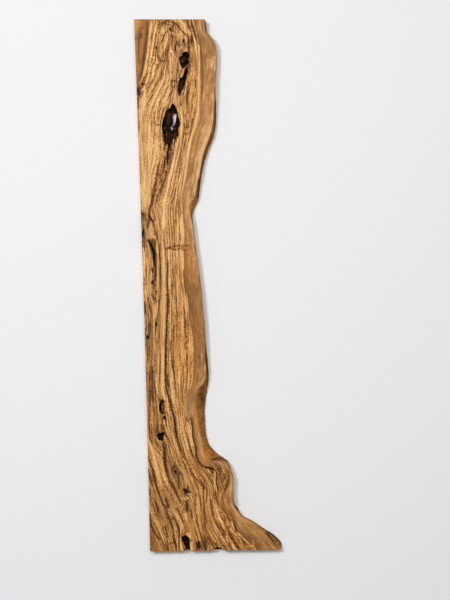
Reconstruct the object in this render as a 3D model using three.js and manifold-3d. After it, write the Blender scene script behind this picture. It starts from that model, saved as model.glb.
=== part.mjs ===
// Olive wood slab with one live edge, lying on its back face.
// Units are millimetres. +Z is up, out of the sanded front face, and +Y runs from the foot of the
// slab to its top. The origin is the middle of the slab's box, on the back face.
//
// The slab is drawn with two distances: across, from the foot's left corner to the right, and up,
// from the foot. The drawing is centred at the end.

import * as THREE from 'three';
import { mergeVertices } from 'three/addons/utils/BufferGeometryUtils.js';
import Module from 'manifold-3d';

// Driving sizes
const slabLength = 1200;
const slabThickness = 28;
const footRise = 4;
const footWidth = 293;
const topLeftInset = -36.3;
const sawnEdgeBow = 2.6;

// Detail
const sawnEdgeSteps = 14;
const footSteps = 6;
const topSteps = 4;
const samplesPerStation = 3;

// The live edge: distance up, then the distance across of the front arris and of the back arris.
// The front arris stands back where wane shows beside the sanded face.
const liveEdge = [
  [4, 293, 297],
  [14, 286, 297],
  [32, 270, 281],
  [49, 254, 255],
  [66, 230, 229],
  [78, 208, 207],
  [96, 194, 196],
  [103, 190, 191],
  [122, 188, 186],
  [143, 187, 185],
  [163, 188, 185],
  [179, 184, 182],
  [193, 179, 177],
  [201, 173, 175],
  [204, 166, 172],
  [205, 144, 169],
  [208, 132, 164],
  [214, 124, 156],
  [221, 122, 148],
  [237, 120, 134],
  [255, 116, 127],
  [282, 111, 124],
  [320, 106, 123],
  [339, 105, 125],
  [358, 107, 128],
  [368, 112, 129],
  [382, 122, 131],
  [401, 126, 131],
  [451, 125, 127],
  [512, 122, 120],
  [580, 116, 113],
  [638, 109, 106],
  [695, 101, 99],
  [743, 95, 95],
  [763, 90, 95],
  [777, 88, 100],
  [790, 94, 106],
  [796, 100, 108],
  [815, 104, 111],
  [853, 112, 116],
  [883, 117, 123],
  [912, 125, 133],
  [941, 136, 144],
  [968, 142, 148],
  [1007, 145, 148],
  [1063, 147, 145],
  [1117, 150, 146],
  [1141, 148, 144],
  [1157, 141, 138],
  [1166, 132, 134],
  [1173, 125, 128],
  [1187, 124, 126],
  [slabLength, 123, 125],
];

// The wane swells a little between its two arrises.
const waneSwellShare = 0.2;
const waneSwellLeast = 0.8;
const waneLevels = [0, 0.12, 0.36, 0.64, 0.88, 1];

// A hollow narrows as it goes down: the share of its depth, then the share of its mouth's size.
const hollowTaper = [[0, 1], [0.4, 0.93], [0.8, 0.8], [1, 0.5]];
const crackTaper = [[0, 1], [0.6, 0.6], [1, 0.2]];
const mouthRise = 1;
const mouthFlare = 1.02;

// Rotted hollows with an outline of their own: points across and up, and the depth.
const upperHollow = {
  depth: 20,
  outline: [
    [72, 1124], [77, 1126], [84, 1128], [87, 1123], [90, 1119], [88, 1114], [85, 1110], [88, 1106],
    [88, 1100], [84, 1098], [79, 1092], [74, 1088], [71, 1090], [67, 1099], [66, 1106], [65, 1111],
    [67, 1116], [72, 1118],
  ],
};
const lowerHollow = {
  depth: 20,
  outline: [
    [82, 1093], [85, 1085], [84, 1075], [82, 1065], [79, 1054], [74, 1042], [70, 1035], [67, 1029],
    [65, 1032], [62, 1041], [63, 1052], [65, 1063], [67, 1071], [70, 1068], [74, 1073], [78, 1085],
  ],
};
const heartCavity = {
  depth: 19,
  outline: [
    [51, 1011], [56, 1006], [60, 997], [63, 990], [64, 980], [66, 975], [68, 968], [67, 959],
    [64, 956], [64, 950], [65, 941], [62, 930], [60, 937], [57, 930], [55, 926], [52, 931],
    [51, 922], [46, 915], [46, 907], [42, 911], [39, 920], [34, 914], [30, 903], [33, 918],
    [32, 928], [31, 937], [28, 942], [27, 952], [25, 959], [27, 966], [29, 975], [33, 983],
    [35, 992], [39, 997], [45, 1000], [47, 1006],
  ],
};
const throughOpening = {
  outline: [
    [53, 986], [58, 989], [61, 986], [60, 977], [59, 969], [57, 961], [52, 957], [52, 949],
    [51, 947], [48, 952], [46, 958], [51, 960], [53, 965], [53, 975], [51, 980],
  ],
};
const lowerPit = {
  depth: 17,
  outline: [
    [14, 262], [19, 266], [23, 268], [30, 270], [33, 268], [31, 262], [31, 257], [29, 251],
    [23, 249], [19, 252], [16, 257],
  ],
};
const starKnot = {
  depth: 9,
  outline: [
    [74, 140], [78, 142], [82, 139], [85, 135], [87, 133], [84, 131], [80, 133], [77, 136],
  ],
};
const footPit = {
  depth: 17,
  outline: [
    [71, 32], [76, 36], [83, 37], [88, 30], [90, 19], [91, -12], [80, -12], [79, 10], [74, 19],
    [71, 28],
  ],
};
const footNotch = {
  depth: 19,
  outline: [[140, -9], [142, 3], [146, 8], [151, 9.5], [159, 8.5], [165, 3], [168, -9]],
};

// Small round pits: across, up, half width, half length, depth, and lean from upright in degrees.
const smallPits = [
  [45, 1178, 2.2, 3.6, 4, 0],
  [76, 1152, 2.6, 3.4, 5, 20],
  [57, 1135, 1.8, 6.5, 4, 0],
  [14, 1135, 2, 3, 4, 0],
  [-18, 1054, 2.2, 3, 4, 0],
  [97, 974, 2, 2.6, 4, 0],
  [-19, 760, 2.2, 2.6, 6, 0],
  [-4, 483, 3.2, 3.6, 5, 0],
  [5, 607, 3, 4.5, 6, 0],
  [14, 511, 2.4, 5.5, 5, -10],
  [32.5, 301.5, 2.8, 5.4, 9, -6],
  [57, 179, 3.2, 3.6, 7, 0],
  [142, 185, 3.4, 2.6, 6, 0],
  [110, 14, 4, 10, 6, 0],
];
const pitSides = 10;

// Open cracks: the middle line across and up, the greatest half width, and the depth.
const cracks = [
  { depth: 12, halfWidth: 1.8, line: [[-6, 703], [0, 695], [5, 684], [9, 673], [10, 661], [10, 642]] },
  { depth: 8, halfWidth: 1.3, line: [[-3, 762], [1, 750], [7, 741]] },
  { depth: 9, halfWidth: 1.8, line: [[-14, 726], [-16, 716], [-19, 706]] },
  { depth: 10, halfWidth: 1.8, line: [[43, 914], [40, 900], [39, 885], [39, 870]] },
  { depth: 8, halfWidth: 1.4, line: [[34, 893], [33, 882], [31, 870]] },
  { depth: 14, halfWidth: 2.2, line: [[44, 990], [45, 982], [47, 972]] },
  { depth: 12, halfWidth: 2.9, line: [[35, 338], [27, 339], [23, 330], [23, 320], [27, 312], [35, 312]] },
  { depth: 7, halfWidth: 1.5, line: [[124, 189], [132, 190], [138, 187], [143, 185]] },
  { depth: 6, halfWidth: 1.4, line: [[148, 182], [150, 163], [150, 143]] },
  { depth: 6, halfWidth: 1.4, line: [[176, 170], [175, 156], [170, 143], [165, 135]] },
  { depth: 7, halfWidth: 1.7, line: [[187, 70], [191, 57], [193, 50], [198, 41]] },
];
const crackEndShare = 0.25;

// A closed solid from a stack of loops with as many points each, the highest loop first. Every loop
// runs anticlockwise seen from above.
function solidFromLoops(loops) {
  const count = loops[0].length;
  const positions = loops.flat().flatMap((point) => [point.x, point.y, point.z]);
  const indices = [];
  for (let level = 0; level + 1 < loops.length; level += 1) {
    for (let i = 0; i < count; i += 1) {
      const next = (i + 1) % count;
      const upper = level * count + i;
      const upperNext = level * count + next;
      const lower = upper + count;
      const lowerNext = upperNext + count;
      indices.push(upper, lower, lowerNext);
      indices.push(upper, lowerNext, upperNext);
    }
  }
  const flat = (loop) => loop.map((point) => new THREE.Vector2(point.x, point.y));
  const lastLevel = (loops.length - 1) * count;
  for (const [a, b, c] of THREE.ShapeUtils.triangulateShape(flat(loops[0]), [])) {
    indices.push(a, b, c);
  }
  for (const [a, b, c] of THREE.ShapeUtils.triangulateShape(flat(loops.at(-1)), [])) {
    indices.push(lastLevel + a, lastLevel + c, lastLevel + b);
  }
  const geometry = new THREE.BufferGeometry();
  geometry.setAttribute('position', new THREE.Float32BufferAttribute(positions, 3));
  geometry.setIndex(indices);
  return geometry;
}

// Height of the sawn foot at a distance across.
function footHeight(across) {
  return (across * footRise) / footWidth;
}

// One arris of the live edge, from the foot to the top: a smooth curve through its stations.
function liveEdgeCurve(column) {
  const points = liveEdge.map((station) => new THREE.Vector3(station[column], station[0], 0));
  points[0].y = footHeight(points[0].x);
  return new THREE.CatmullRomCurve3(points, false, 'centripetal');
}

const frontArris = liveEdgeCurve(1);
const backArris = liveEdgeCurve(2);

// The live edge at one level between the front face, 0, and the back face, 1.
function liveEdgeAt(level) {
  const steps = (liveEdge.length - 1) * samplesPerStation;
  const points = [];
  for (let i = 0; i <= steps; i += 1) {
    const share = i / steps;
    const front = frontArris.getPoint(share);
    const back = backArris.getPoint(share);
    const tangent = frontArris.getTangent(share).add(backArris.getTangent(share)).normalize();
    const swell = waneSwellLeast + waneSwellShare * front.distanceTo(back);
    const point = front.lerp(back, level);
    const isEnd = i === 0 || i === steps;
    const outward = isEnd ? 0 : swell * Math.sin(Math.PI * level);
    points.push([point.x + tangent.y * outward, point.y - tangent.x * outward]);
  }
  points[0][1] = footHeight(points[0][0]);
  return points;
}

// The outline of the whole slab at one level, anticlockwise from the foot's left corner.
function slabOutline(level) {
  const edge = liveEdgeAt(level);
  const outline = [];
  for (let i = 0; i < footSteps; i += 1) {
    const across = (edge[0][0] * i) / footSteps;
    outline.push([across, footHeight(across)]);
  }
  outline.push(...edge);
  const topRight = edge.at(-1)[0];
  for (let i = 1; i < topSteps; i += 1) {
    outline.push([topRight + ((topLeftInset - topRight) * i) / topSteps, slabLength]);
  }
  for (let i = 0; i < sawnEdgeSteps; i += 1) {
    const share = 1 - i / sawnEdgeSteps;
    const across = topLeftInset * share + sawnEdgeBow * Math.sin(Math.PI * share);
    outline.push([across, slabLength * share]);
  }
  return outline;
}

// The slab before it is hollowed.
function slabBlank() {
  const loops = waneLevels.map((level) => {
    const height = slabThickness * (1 - level);
    return slabOutline(level).map(([across, up]) => new THREE.Vector3(across, up, height));
  });
  return solidFromLoops(loops);
}

// Points listed the other way round where they run clockwise.
function anticlockwise(points) {
  const flat = points.map(([across, up]) => new THREE.Vector2(across, up));
  return THREE.ShapeUtils.isClockWise(flat) ? [...points].reverse() : points;
}

// A tool for a hollow that opens on the front face and narrows towards the middle of its mouth.
function hollowTool({ outline, depth }) {
  const mouth = anticlockwise(outline);
  const middle = [0, 1].map((axis) => mouth.reduce((sum, point) => sum + point[axis], 0) / mouth.length);
  const ring = (size, height) => mouth.map(([across, up]) => new THREE.Vector3(
    middle[0] + (across - middle[0]) * size,
    middle[1] + (up - middle[1]) * size,
    height,
  ));
  const loops = [ring(mouthFlare, slabThickness + mouthRise)];
  for (const [share, size] of hollowTaper) {
    loops.push(ring(size, slabThickness - depth * share));
  }
  return solidFromLoops(loops);
}

// A tool for a round or oval pit.
function pitTool([across, up, halfWidth, halfLength, depth, lean]) {
  const angle = THREE.MathUtils.degToRad(lean);
  const outline = [];
  for (let i = 0; i < pitSides; i += 1) {
    const turn = (2 * Math.PI * i) / pitSides;
    const point = new THREE.Vector2(halfWidth * Math.cos(turn), halfLength * Math.sin(turn));
    point.rotateAround(new THREE.Vector2(), angle);
    outline.push([across + point.x, up + point.y]);
  }
  return hollowTool({ outline, depth });
}

// A tool for a crack: widest in its middle, and V-shaped across.
function crackTool({ line, halfWidth, depth }) {
  const points = line.map(([across, up]) => new THREE.Vector3(across, up, 0));
  const curve = new THREE.CatmullRomCurve3(points, false, 'centripetal');
  const steps = (line.length - 1) * 2;
  const ring = (size, height) => {
    const right = [];
    const left = [];
    for (let i = 0; i <= steps; i += 1) {
      const share = i / steps;
      const point = curve.getPoint(share);
      const tangent = curve.getTangent(share);
      const fullness = crackEndShare + (1 - crackEndShare) * Math.sin(Math.PI * share);
      const side = halfWidth * size * fullness;
      right.push(new THREE.Vector3(point.x + tangent.y * side, point.y - tangent.x * side, height));
      left.push(new THREE.Vector3(point.x - tangent.y * side, point.y + tangent.x * side, height));
    }
    return [...right, ...left.reverse()];
  };
  const loops = [ring(1, slabThickness + mouthRise)];
  for (const [share, size] of crackTaper) {
    loops.push(ring(size, slabThickness - depth * share));
  }
  return solidFromLoops(loops);
}

// A tool for the opening that runs through the slab inside the heart cavity.
function throughTool() {
  const mouth = anticlockwise(throughOpening.outline);
  const ring = (height) => mouth.map(([across, up]) => new THREE.Vector3(across, up, height));
  return solidFromLoops([ring(slabThickness + mouthRise), ring(-mouthRise)]);
}

const wasm = await Module();
wasm.setup();

function manifoldFrom(geometry) {
  const merged = mergeVertices(geometry);
  return new wasm.Manifold(new wasm.Mesh({
    numProp: 3,
    vertProperties: new Float32Array(merged.attributes.position.array),
    triVerts: new Uint32Array(merged.index.array),
  }));
}

function geometryFrom(solid) {
  const mesh = solid.getMesh();
  const geometry = new THREE.BufferGeometry();
  geometry.setAttribute('position', new THREE.BufferAttribute(mesh.vertProperties, mesh.numProp));
  geometry.setIndex(new THREE.BufferAttribute(mesh.triVerts, 1));
  return geometry;
}

// The slab, hollowed and centred on its origin.
function slabGeometry() {
  const tools = [
    ...[upperHollow, lowerHollow, heartCavity, lowerPit, starKnot, footPit, footNotch].map(hollowTool),
    ...smallPits.map(pitTool),
    ...cracks.map(crackTool),
    throughTool(),
  ];
  let solid = manifoldFrom(slabBlank());
  for (const tool of tools) {
    solid = solid.subtract(manifoldFrom(tool));
  }
  const geometry = geometryFrom(solid);
  geometry.computeBoundingBox();
  const middle = geometry.boundingBox.getCenter(new THREE.Vector3());
  geometry.translate(-middle.x, -middle.y, 0);
  geometry.computeVertexNormals();
  return geometry;
}

const oliveWood = new THREE.MeshStandardMaterial({ color: 0xb98046, roughness: 0.55, metalness: 0 });
const slab = new THREE.Mesh(slabGeometry(), oliveWood);
slab.name = 'slab';

const model = new THREE.Group();
model.add(slab);

export default model;
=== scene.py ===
"""Olive wood slab with one live edge: sanded faces, sawn sides, wane, rotted hollows and figure.

The slab lies on its back face. It is drawn in millimetres, across from the foot's left corner and
up from the foot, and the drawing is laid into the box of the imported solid, in metres.
"""

import math

import bpy
import numpy as np
from bpy.props import FloatProperty, FloatVectorProperty, IntProperty, PointerProperty
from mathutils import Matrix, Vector
from mathutils.geometry import delaunay_2d_cdt


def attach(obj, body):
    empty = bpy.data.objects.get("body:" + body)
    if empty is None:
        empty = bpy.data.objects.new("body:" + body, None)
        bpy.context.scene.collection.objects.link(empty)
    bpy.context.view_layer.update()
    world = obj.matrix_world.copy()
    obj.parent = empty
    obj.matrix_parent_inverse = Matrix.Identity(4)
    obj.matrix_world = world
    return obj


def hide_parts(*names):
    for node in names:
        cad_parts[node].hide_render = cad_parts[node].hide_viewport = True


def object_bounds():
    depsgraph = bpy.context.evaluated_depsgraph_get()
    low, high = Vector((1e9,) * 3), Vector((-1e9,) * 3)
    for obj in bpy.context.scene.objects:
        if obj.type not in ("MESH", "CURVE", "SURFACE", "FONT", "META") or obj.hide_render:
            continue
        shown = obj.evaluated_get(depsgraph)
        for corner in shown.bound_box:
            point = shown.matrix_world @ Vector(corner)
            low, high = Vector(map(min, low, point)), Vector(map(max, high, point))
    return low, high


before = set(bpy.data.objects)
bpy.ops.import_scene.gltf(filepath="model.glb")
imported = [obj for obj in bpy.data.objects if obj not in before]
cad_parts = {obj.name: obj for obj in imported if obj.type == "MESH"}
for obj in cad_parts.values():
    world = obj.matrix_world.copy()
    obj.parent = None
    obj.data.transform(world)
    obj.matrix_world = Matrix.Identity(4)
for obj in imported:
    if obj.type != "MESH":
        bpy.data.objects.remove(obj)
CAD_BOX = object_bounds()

bl_info = {
    "name": "Olive Wood Slab",
    "version": (1, 0, 0),
    "blender": (4, 5, 0),
    "location": "View3D > Sidebar > Slab",
    "description": "Builds a live edge slab of olive wood and the floor that it lies on",
    "category": "Add Mesh",
}

# Driving sizes, in millimetres
MM = 0.001
SLAB_LENGTH = 1200.0
SLAB_THICKNESS = 28.0
FOOT_RISE = 4.0
FOOT_WIDTH = 293.0
TOP_LEFT_INSET = -36.3
SAWN_EDGE_BOW = 2.6

# The live edge: distance up, then the distance across of the front arris and of the back arris
LIVE_EDGE = (
    (4, 293, 297), (14, 286, 297), (32, 270, 281), (49, 254, 255), (66, 230, 229), (78, 208, 207),
    (96, 194, 196), (103, 190, 191), (122, 188, 186), (143, 187, 185), (163, 188, 185),
    (179, 184, 182), (193, 179, 177), (201, 173, 175), (204, 166, 172), (205, 144, 169),
    (208, 132, 164), (214, 124, 156), (221, 122, 148), (237, 120, 134), (255, 116, 127),
    (282, 111, 124), (320, 106, 123), (339, 105, 125), (358, 107, 128), (368, 112, 129),
    (382, 122, 131), (401, 126, 131), (451, 125, 127), (512, 122, 120), (580, 116, 113),
    (638, 109, 106), (695, 101, 99), (743, 95, 95), (763, 90, 95), (777, 88, 100),
    (790, 94, 106), (796, 100, 108), (815, 104, 111), (853, 112, 116), (883, 117, 123),
    (912, 125, 133), (941, 136, 144), (968, 142, 148), (1007, 145, 148), (1063, 147, 145),
    (1117, 150, 146), (1141, 148, 144), (1157, 141, 138), (1166, 132, 134), (1173, 125, 128),
    (1187, 124, 126), (SLAB_LENGTH, 123, 125),
)

# Rotted hollows: their depth, and the outline of their mouth across and up
HOLLOWS = {
    "upper_hollow": (20, (
        (72, 1124), (77, 1126), (84, 1128), (87, 1123), (90, 1119), (88, 1114), (85, 1110),
        (88, 1106), (88, 1100), (84, 1098), (79, 1092), (74, 1088), (71, 1090), (67, 1099),
        (66, 1106), (65, 1111), (67, 1116), (72, 1118),
    )),
    "lower_hollow": (20, (
        (82, 1093), (85, 1085), (84, 1075), (82, 1065), (79, 1054), (74, 1042), (70, 1035),
        (67, 1029), (65, 1032), (62, 1041), (63, 1052), (65, 1063), (67, 1071), (70, 1068),
        (74, 1073), (78, 1085),
    )),
    "heart_cavity": (19, (
        (51, 1011), (56, 1006), (60, 997), (63, 990), (64, 980), (66, 975), (68, 968), (67, 959),
        (64, 956), (64, 950), (65, 941), (62, 930), (60, 937), (57, 930), (55, 926), (52, 931),
        (51, 922), (46, 915), (46, 907), (42, 911), (39, 920), (34, 914), (30, 903), (33, 918),
        (32, 928), (31, 937), (28, 942), (27, 952), (25, 959), (27, 966), (29, 975), (33, 983),
        (35, 992), (39, 997), (45, 1000), (47, 1006),
    )),
    "lower_pit": (17, (
        (14, 262), (19, 266), (23, 268), (30, 270), (33, 268), (31, 262), (31, 257), (29, 251),
        (23, 249), (19, 252), (16, 257),
    )),
    "star_knot": (9, (
        (74, 140), (78, 142), (82, 139), (85, 135), (87, 133), (84, 131), (80, 133), (77, 136),
    )),
    "foot_pit": (17, (
        (71, 32), (76, 36), (83, 37), (88, 30), (90, 19), (91, -12), (80, -12), (79, 10),
        (74, 19), (71, 28),
    )),
    "foot_notch": (19, (
        (140, -9), (142, 3), (146, 8), (151, 9.5), (159, 8.5), (165, 3), (168, -9),
    )),
}
THROUGH_OPENING = (
    (51, 989), (56, 992), (59, 989), (58, 980), (57, 972), (55, 964), (50, 960), (50, 951),
    (49, 949), (46, 955), (44, 961), (49, 963), (51, 968), (51, 978), (49, 983),
)

# Small pits: across, up, half width, half length, depth, and lean from upright in degrees
SMALL_PITS = (
    (45, 1178, 2.2, 3.6, 4, 0), (76, 1152, 2.6, 3.4, 5, 20), (57, 1135, 1.8, 6.5, 4, 0),
    (14, 1135, 2, 3, 4, 0), (-18, 1054, 2.2, 3, 4, 0), (97, 974, 2, 2.6, 4, 0),
    (-19, 760, 2.2, 2.6, 6, 0), (-4, 483, 3.2, 3.6, 5, 0), (5, 607, 3, 4.5, 6, 0),
    (14, 511, 2.4, 5.5, 5, -10), (32.5, 301.5, 2.8, 5.4, 9, -6), (57, 179, 3.2, 3.6, 7, 0),
    (142, 185, 3.4, 2.6, 6, 0), (110, 14, 4, 10, 6, 0),
)

# Open cracks: depth, greatest half width, and the middle line across and up
CRACKS = (
    (12, 1.8, ((-6, 703), (0, 695), (5, 684), (9, 673), (10, 661), (10, 642))),
    (8, 1.3, ((-3, 762), (1, 750), (7, 741))),
    (9, 1.8, ((-14, 726), (-16, 716), (-19, 706))),
    (10, 1.8, ((43, 914), (40, 900), (39, 885), (39, 870))),
    (8, 1.4, ((34, 893), (33, 882), (31, 870))),
    (14, 2.2, ((44, 990), (45, 982), (47, 972))),
    (12, 2.9, ((35, 338), (27, 339), (23, 330), (23, 320), (27, 312), (35, 312))),
    (7, 1.5, ((124, 189), (132, 190), (138, 187), (143, 185))),
    (6, 0.8, ((147.4, 183), (150.4, 172), (149.2, 160), (151, 148), (153.4, 136), (154, 124))),
    (6, 1.4, ((176, 170), (175, 156), (170, 143), (165, 135))),
    (7, 1.7, ((187, 70), (191, 57), (193, 50), (198, 41))),
)

# The figure of the wood is placed by points of the photograph, in its pixels
PHOTO_FOOT = (150.1, 551.4)
PHOTO_SLAB_LENGTH = 532.2
PIXEL = SLAB_LENGTH / PHOTO_SLAB_LENGTH
PHOTO_SIZE = (450, 600)

# Lines that the grain follows, from the sawn side to the live edge. Each has its place across the
# grain, in pixels, then points down the slab.
GRAIN_LINES = (
    (120, ((100, 19), (135, 448), (152.5, 529), (157, 537), (163, 551))),
    (137, ((112, 19), (125, 88), (134, 200), (138, 330), (143, 420), (149.5, 461), (153, 471),
        (157.5, 489), (166.5, 510), (168, 516), (172, 526), (176, 551))),
    (140, ((150, 19), (144, 60), (138.5, 88), (136, 110), (138, 200), (143, 340), (147.5, 438),
        (156, 465), (160.5, 484), (178, 527), (179, 535), (179.3, 551))),
    (143.5, ((157, 19), (149.5, 62), (145, 80), (141, 95), (139.6, 110), (139.6, 137), (141.6, 187),
        (142.6, 212), (144, 235), (146, 262), (149.5, 420), (150.5, 440), (153, 448), (166, 487),
        (171, 497), (183, 527), (180.5, 540), (181, 551))),
    (147.5, ((163, 19), (162, 45), (160, 62), (156, 75), (147.5, 89), (142.5, 103), (141.5, 127),
        (142.3, 187), (144.2, 212), (146, 232), (149, 262), (149.5, 292), (151, 303), (150.5, 315),
        (153, 410), (154.5, 428), (154, 445), (160, 452), (164.5, 455), (165.3, 466), (171.5, 485),
        (176.5, 493), (184, 509), (187.5, 519), (190, 530), (191.5, 540), (192, 551))),
    (151.5, ((166.5, 19), (166, 45), (164, 62), (161, 75), (155, 89), (148.5, 100), (145.5, 112),
        (145.5, 145), (144.6, 187), (146.4, 212), (148.5, 232), (152, 262), (154, 285),
        (154.8, 303), (153.7, 335), (154.9, 385), (155.7, 410), (156.5, 428), (160, 440),
        (161.5, 450), (166.8, 460), (177, 488), (184.8, 505), (192.3, 530), (195.5, 551))),
    (156, ((170, 19), (169, 45), (167.5, 62), (167, 75), (163, 89), (155.5, 100), (152.5, 112),
        (152.5, 127), (151, 155), (148, 178), (147, 187), (147.6, 205), (148.7, 212), (153, 222),
        (155, 235), (156.6, 262), (158.5, 285), (158.5, 308), (157, 316), (156.5, 335),
        (157.5, 360), (157.5, 385), (159.5, 398), (158.5, 410), (158.5, 425), (165.5, 440),
        (166.5, 450), (169, 460), (181, 488), (183, 498), (188, 505), (194, 528), (198, 539),
        (199, 551))),
    (159.5, ((172, 19), (172, 45), (171, 62), (171, 75), (168, 89), (163, 100), (160, 112),
        (159.4, 127), (158, 137), (155.3, 155), (149.8, 178), (149, 187), (149.5, 205), (151, 212),
        (155, 222), (157, 235), (158.2, 262), (160, 285), (158.8, 316), (159, 385), (161.2, 398),
        (161.2, 425), (167.5, 440), (171.8, 460), (185, 488), (191, 505), (196.2, 528),
        (202.5, 551))),
    (162.5, ((176, 19), (174, 45), (173, 75), (172, 89), (168, 103), (163, 113), (161, 125),
        (162.5, 147), (162, 155), (158.5, 167), (154.7, 187), (151.6, 205), (153, 212),
        (157.5, 222), (159, 235), (160, 262), (161.8, 285), (162, 300), (160.3, 335),
        (160.5, 385), (163.3, 398), (164, 425), (169.5, 440), (174.5, 460), (189, 488),
        (194, 505), (198.5, 528), (206, 551))),
    (165.5, ((178, 19), (177, 45), (174.5, 75), (174, 89), (172, 103), (170, 115), (168, 130),
        (168, 147), (167, 167), (164.4, 178), (160.5, 187), (155.2, 205), (156, 212), (160, 235),
        (162, 262), (163.2, 285), (163.4, 300), (162, 335), (161.6, 385), (164.6, 398),
        (167, 425), (172, 440), (178, 460), (193, 488), (196.5, 505), (200.7, 528), (209, 551))),
    (169, ((181, 19), (181, 36), (178, 50), (176, 75), (176.5, 103), (179.5, 118), (179.5, 133),
        (177, 147), (171, 172), (168, 187), (163.4, 205), (162.4, 212), (163.2, 235), (164, 262),
        (165, 285), (165.6, 300), (163.8, 335), (163.2, 385), (166.2, 398), (170, 420),
        (174.3, 440), (181, 460), (187.5, 473), (197, 488), (199.5, 505), (203, 528), (213, 551))),
    (172, ((183, 19), (184, 36), (182, 50), (178.5, 75), (179, 103), (182.5, 118), (182.5, 130),
        (181, 142), (173.5, 178), (171, 190), (167, 205), (166, 212), (166.6, 240), (167, 262),
        (167.4, 285), (168.5, 298), (166.3, 335), (165.5, 382), (170, 400), (174, 420),
        (175, 430), (178, 440), (186, 460), (190, 466), (196, 478), (202, 484), (204, 488),
        (205, 520), (207, 531), (219, 551))),
    (177, ((185, 19), (189, 36), (192, 50), (192, 70), (189.5, 85), (185.5, 100), (186, 118),
        (185.5, 130), (184.8, 140), (181.5, 155), (177, 178), (175, 187), (171, 205),
        (170, 212), (171, 235), (172.6, 262), (174, 325), (172.3, 365), (173, 378),
        (179, 412), (182, 440), (185.5, 452), (192, 464), (203, 480), (206, 488), (206.7, 504),
        (208, 515), (210, 524), (214, 535), (225, 551))),
    (183, ((190, 19), (195, 40), (197.5, 60), (198, 90), (196, 110), (192, 130), (189, 142),
        (186, 155), (180.5, 187), (177.6, 205), (176.4, 220), (177.5, 245), (178.5, 262),
        (181, 300), (184.5, 360), (184.5, 380), (183, 395), (183, 410), (184.5, 424), (187, 438),
        (190, 450), (194, 460), (200, 470), (206, 478), (210, 486), (212.5, 508), (214.5, 517),
        (218, 526), (233, 551))),
    (189, ((193, 19), (197, 30), (199.5, 45), (200.3, 60), (200, 121), (194.4, 131.6),
        (191.3, 142.3), (182, 199), (184.2, 238), (182.1, 250.6), (184, 267.5), (184.6, 282),
        (187.3, 297), (190, 325), (192.8, 336), (193.9, 350), (193.3, 378), (188.2, 398),
        (187, 412), (189, 419), (192.3, 426), (192.8, 437), (196, 450), (197, 457), (205, 470),
        (211, 477), (215.5, 486), (217, 497), (219, 505), (233, 521), (235.5, 529), (257.5, 551))),
)
OUTER_GRAIN_PLACE = 203

# Where heartwood ends and sapwood begins, down the slab
HEARTWOOD_EDGE = (
    (193, 19), (200, 45), (200.6, 60), (200.8, 90), (200.4, 112), (199.8, 121), (197.5, 126),
    (195, 130), (192.5, 136), (189.8, 155), (182.8, 192.5), (182, 199), (184.2, 238), (183.2, 250),
    (184.3, 264), (184.2, 270), (183.5, 272), (185.8, 290), (187.3, 297), (189.3, 320),
    (192.8, 336), (193.5, 342), (194, 358), (193.3, 378), (192.5, 383), (188.5, 392), (187, 412),
    (189, 417), (191.6, 420), (193, 437), (196, 447), (195.8, 452), (197, 457), (199, 461),
    (203, 466), (209, 466.8), (217, 467.4), (226, 468.4), (228.4, 472), (228.6, 480), (227, 487),
    (223, 493), (220.4, 498), (221, 508), (231, 517), (234.5, 524.5), (235.5, 529), (237, 531),
    (249, 543), (256, 547), (257.5, 550),
)

# Plain, calm wood with little figure: outlines down the slab
PLAIN_WOOD = (
    ((128, 17), (150.4, 17), (148.8, 30), (147.5, 45), (146, 58), (144.5, 68), (142.5, 76),
     (140.5, 83), (137.5, 88), (130, 92)),
    ((146, 528), (150.5, 530), (152, 533), (155, 540), (157.5, 546), (159, 553), (146, 553)),
)

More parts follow.
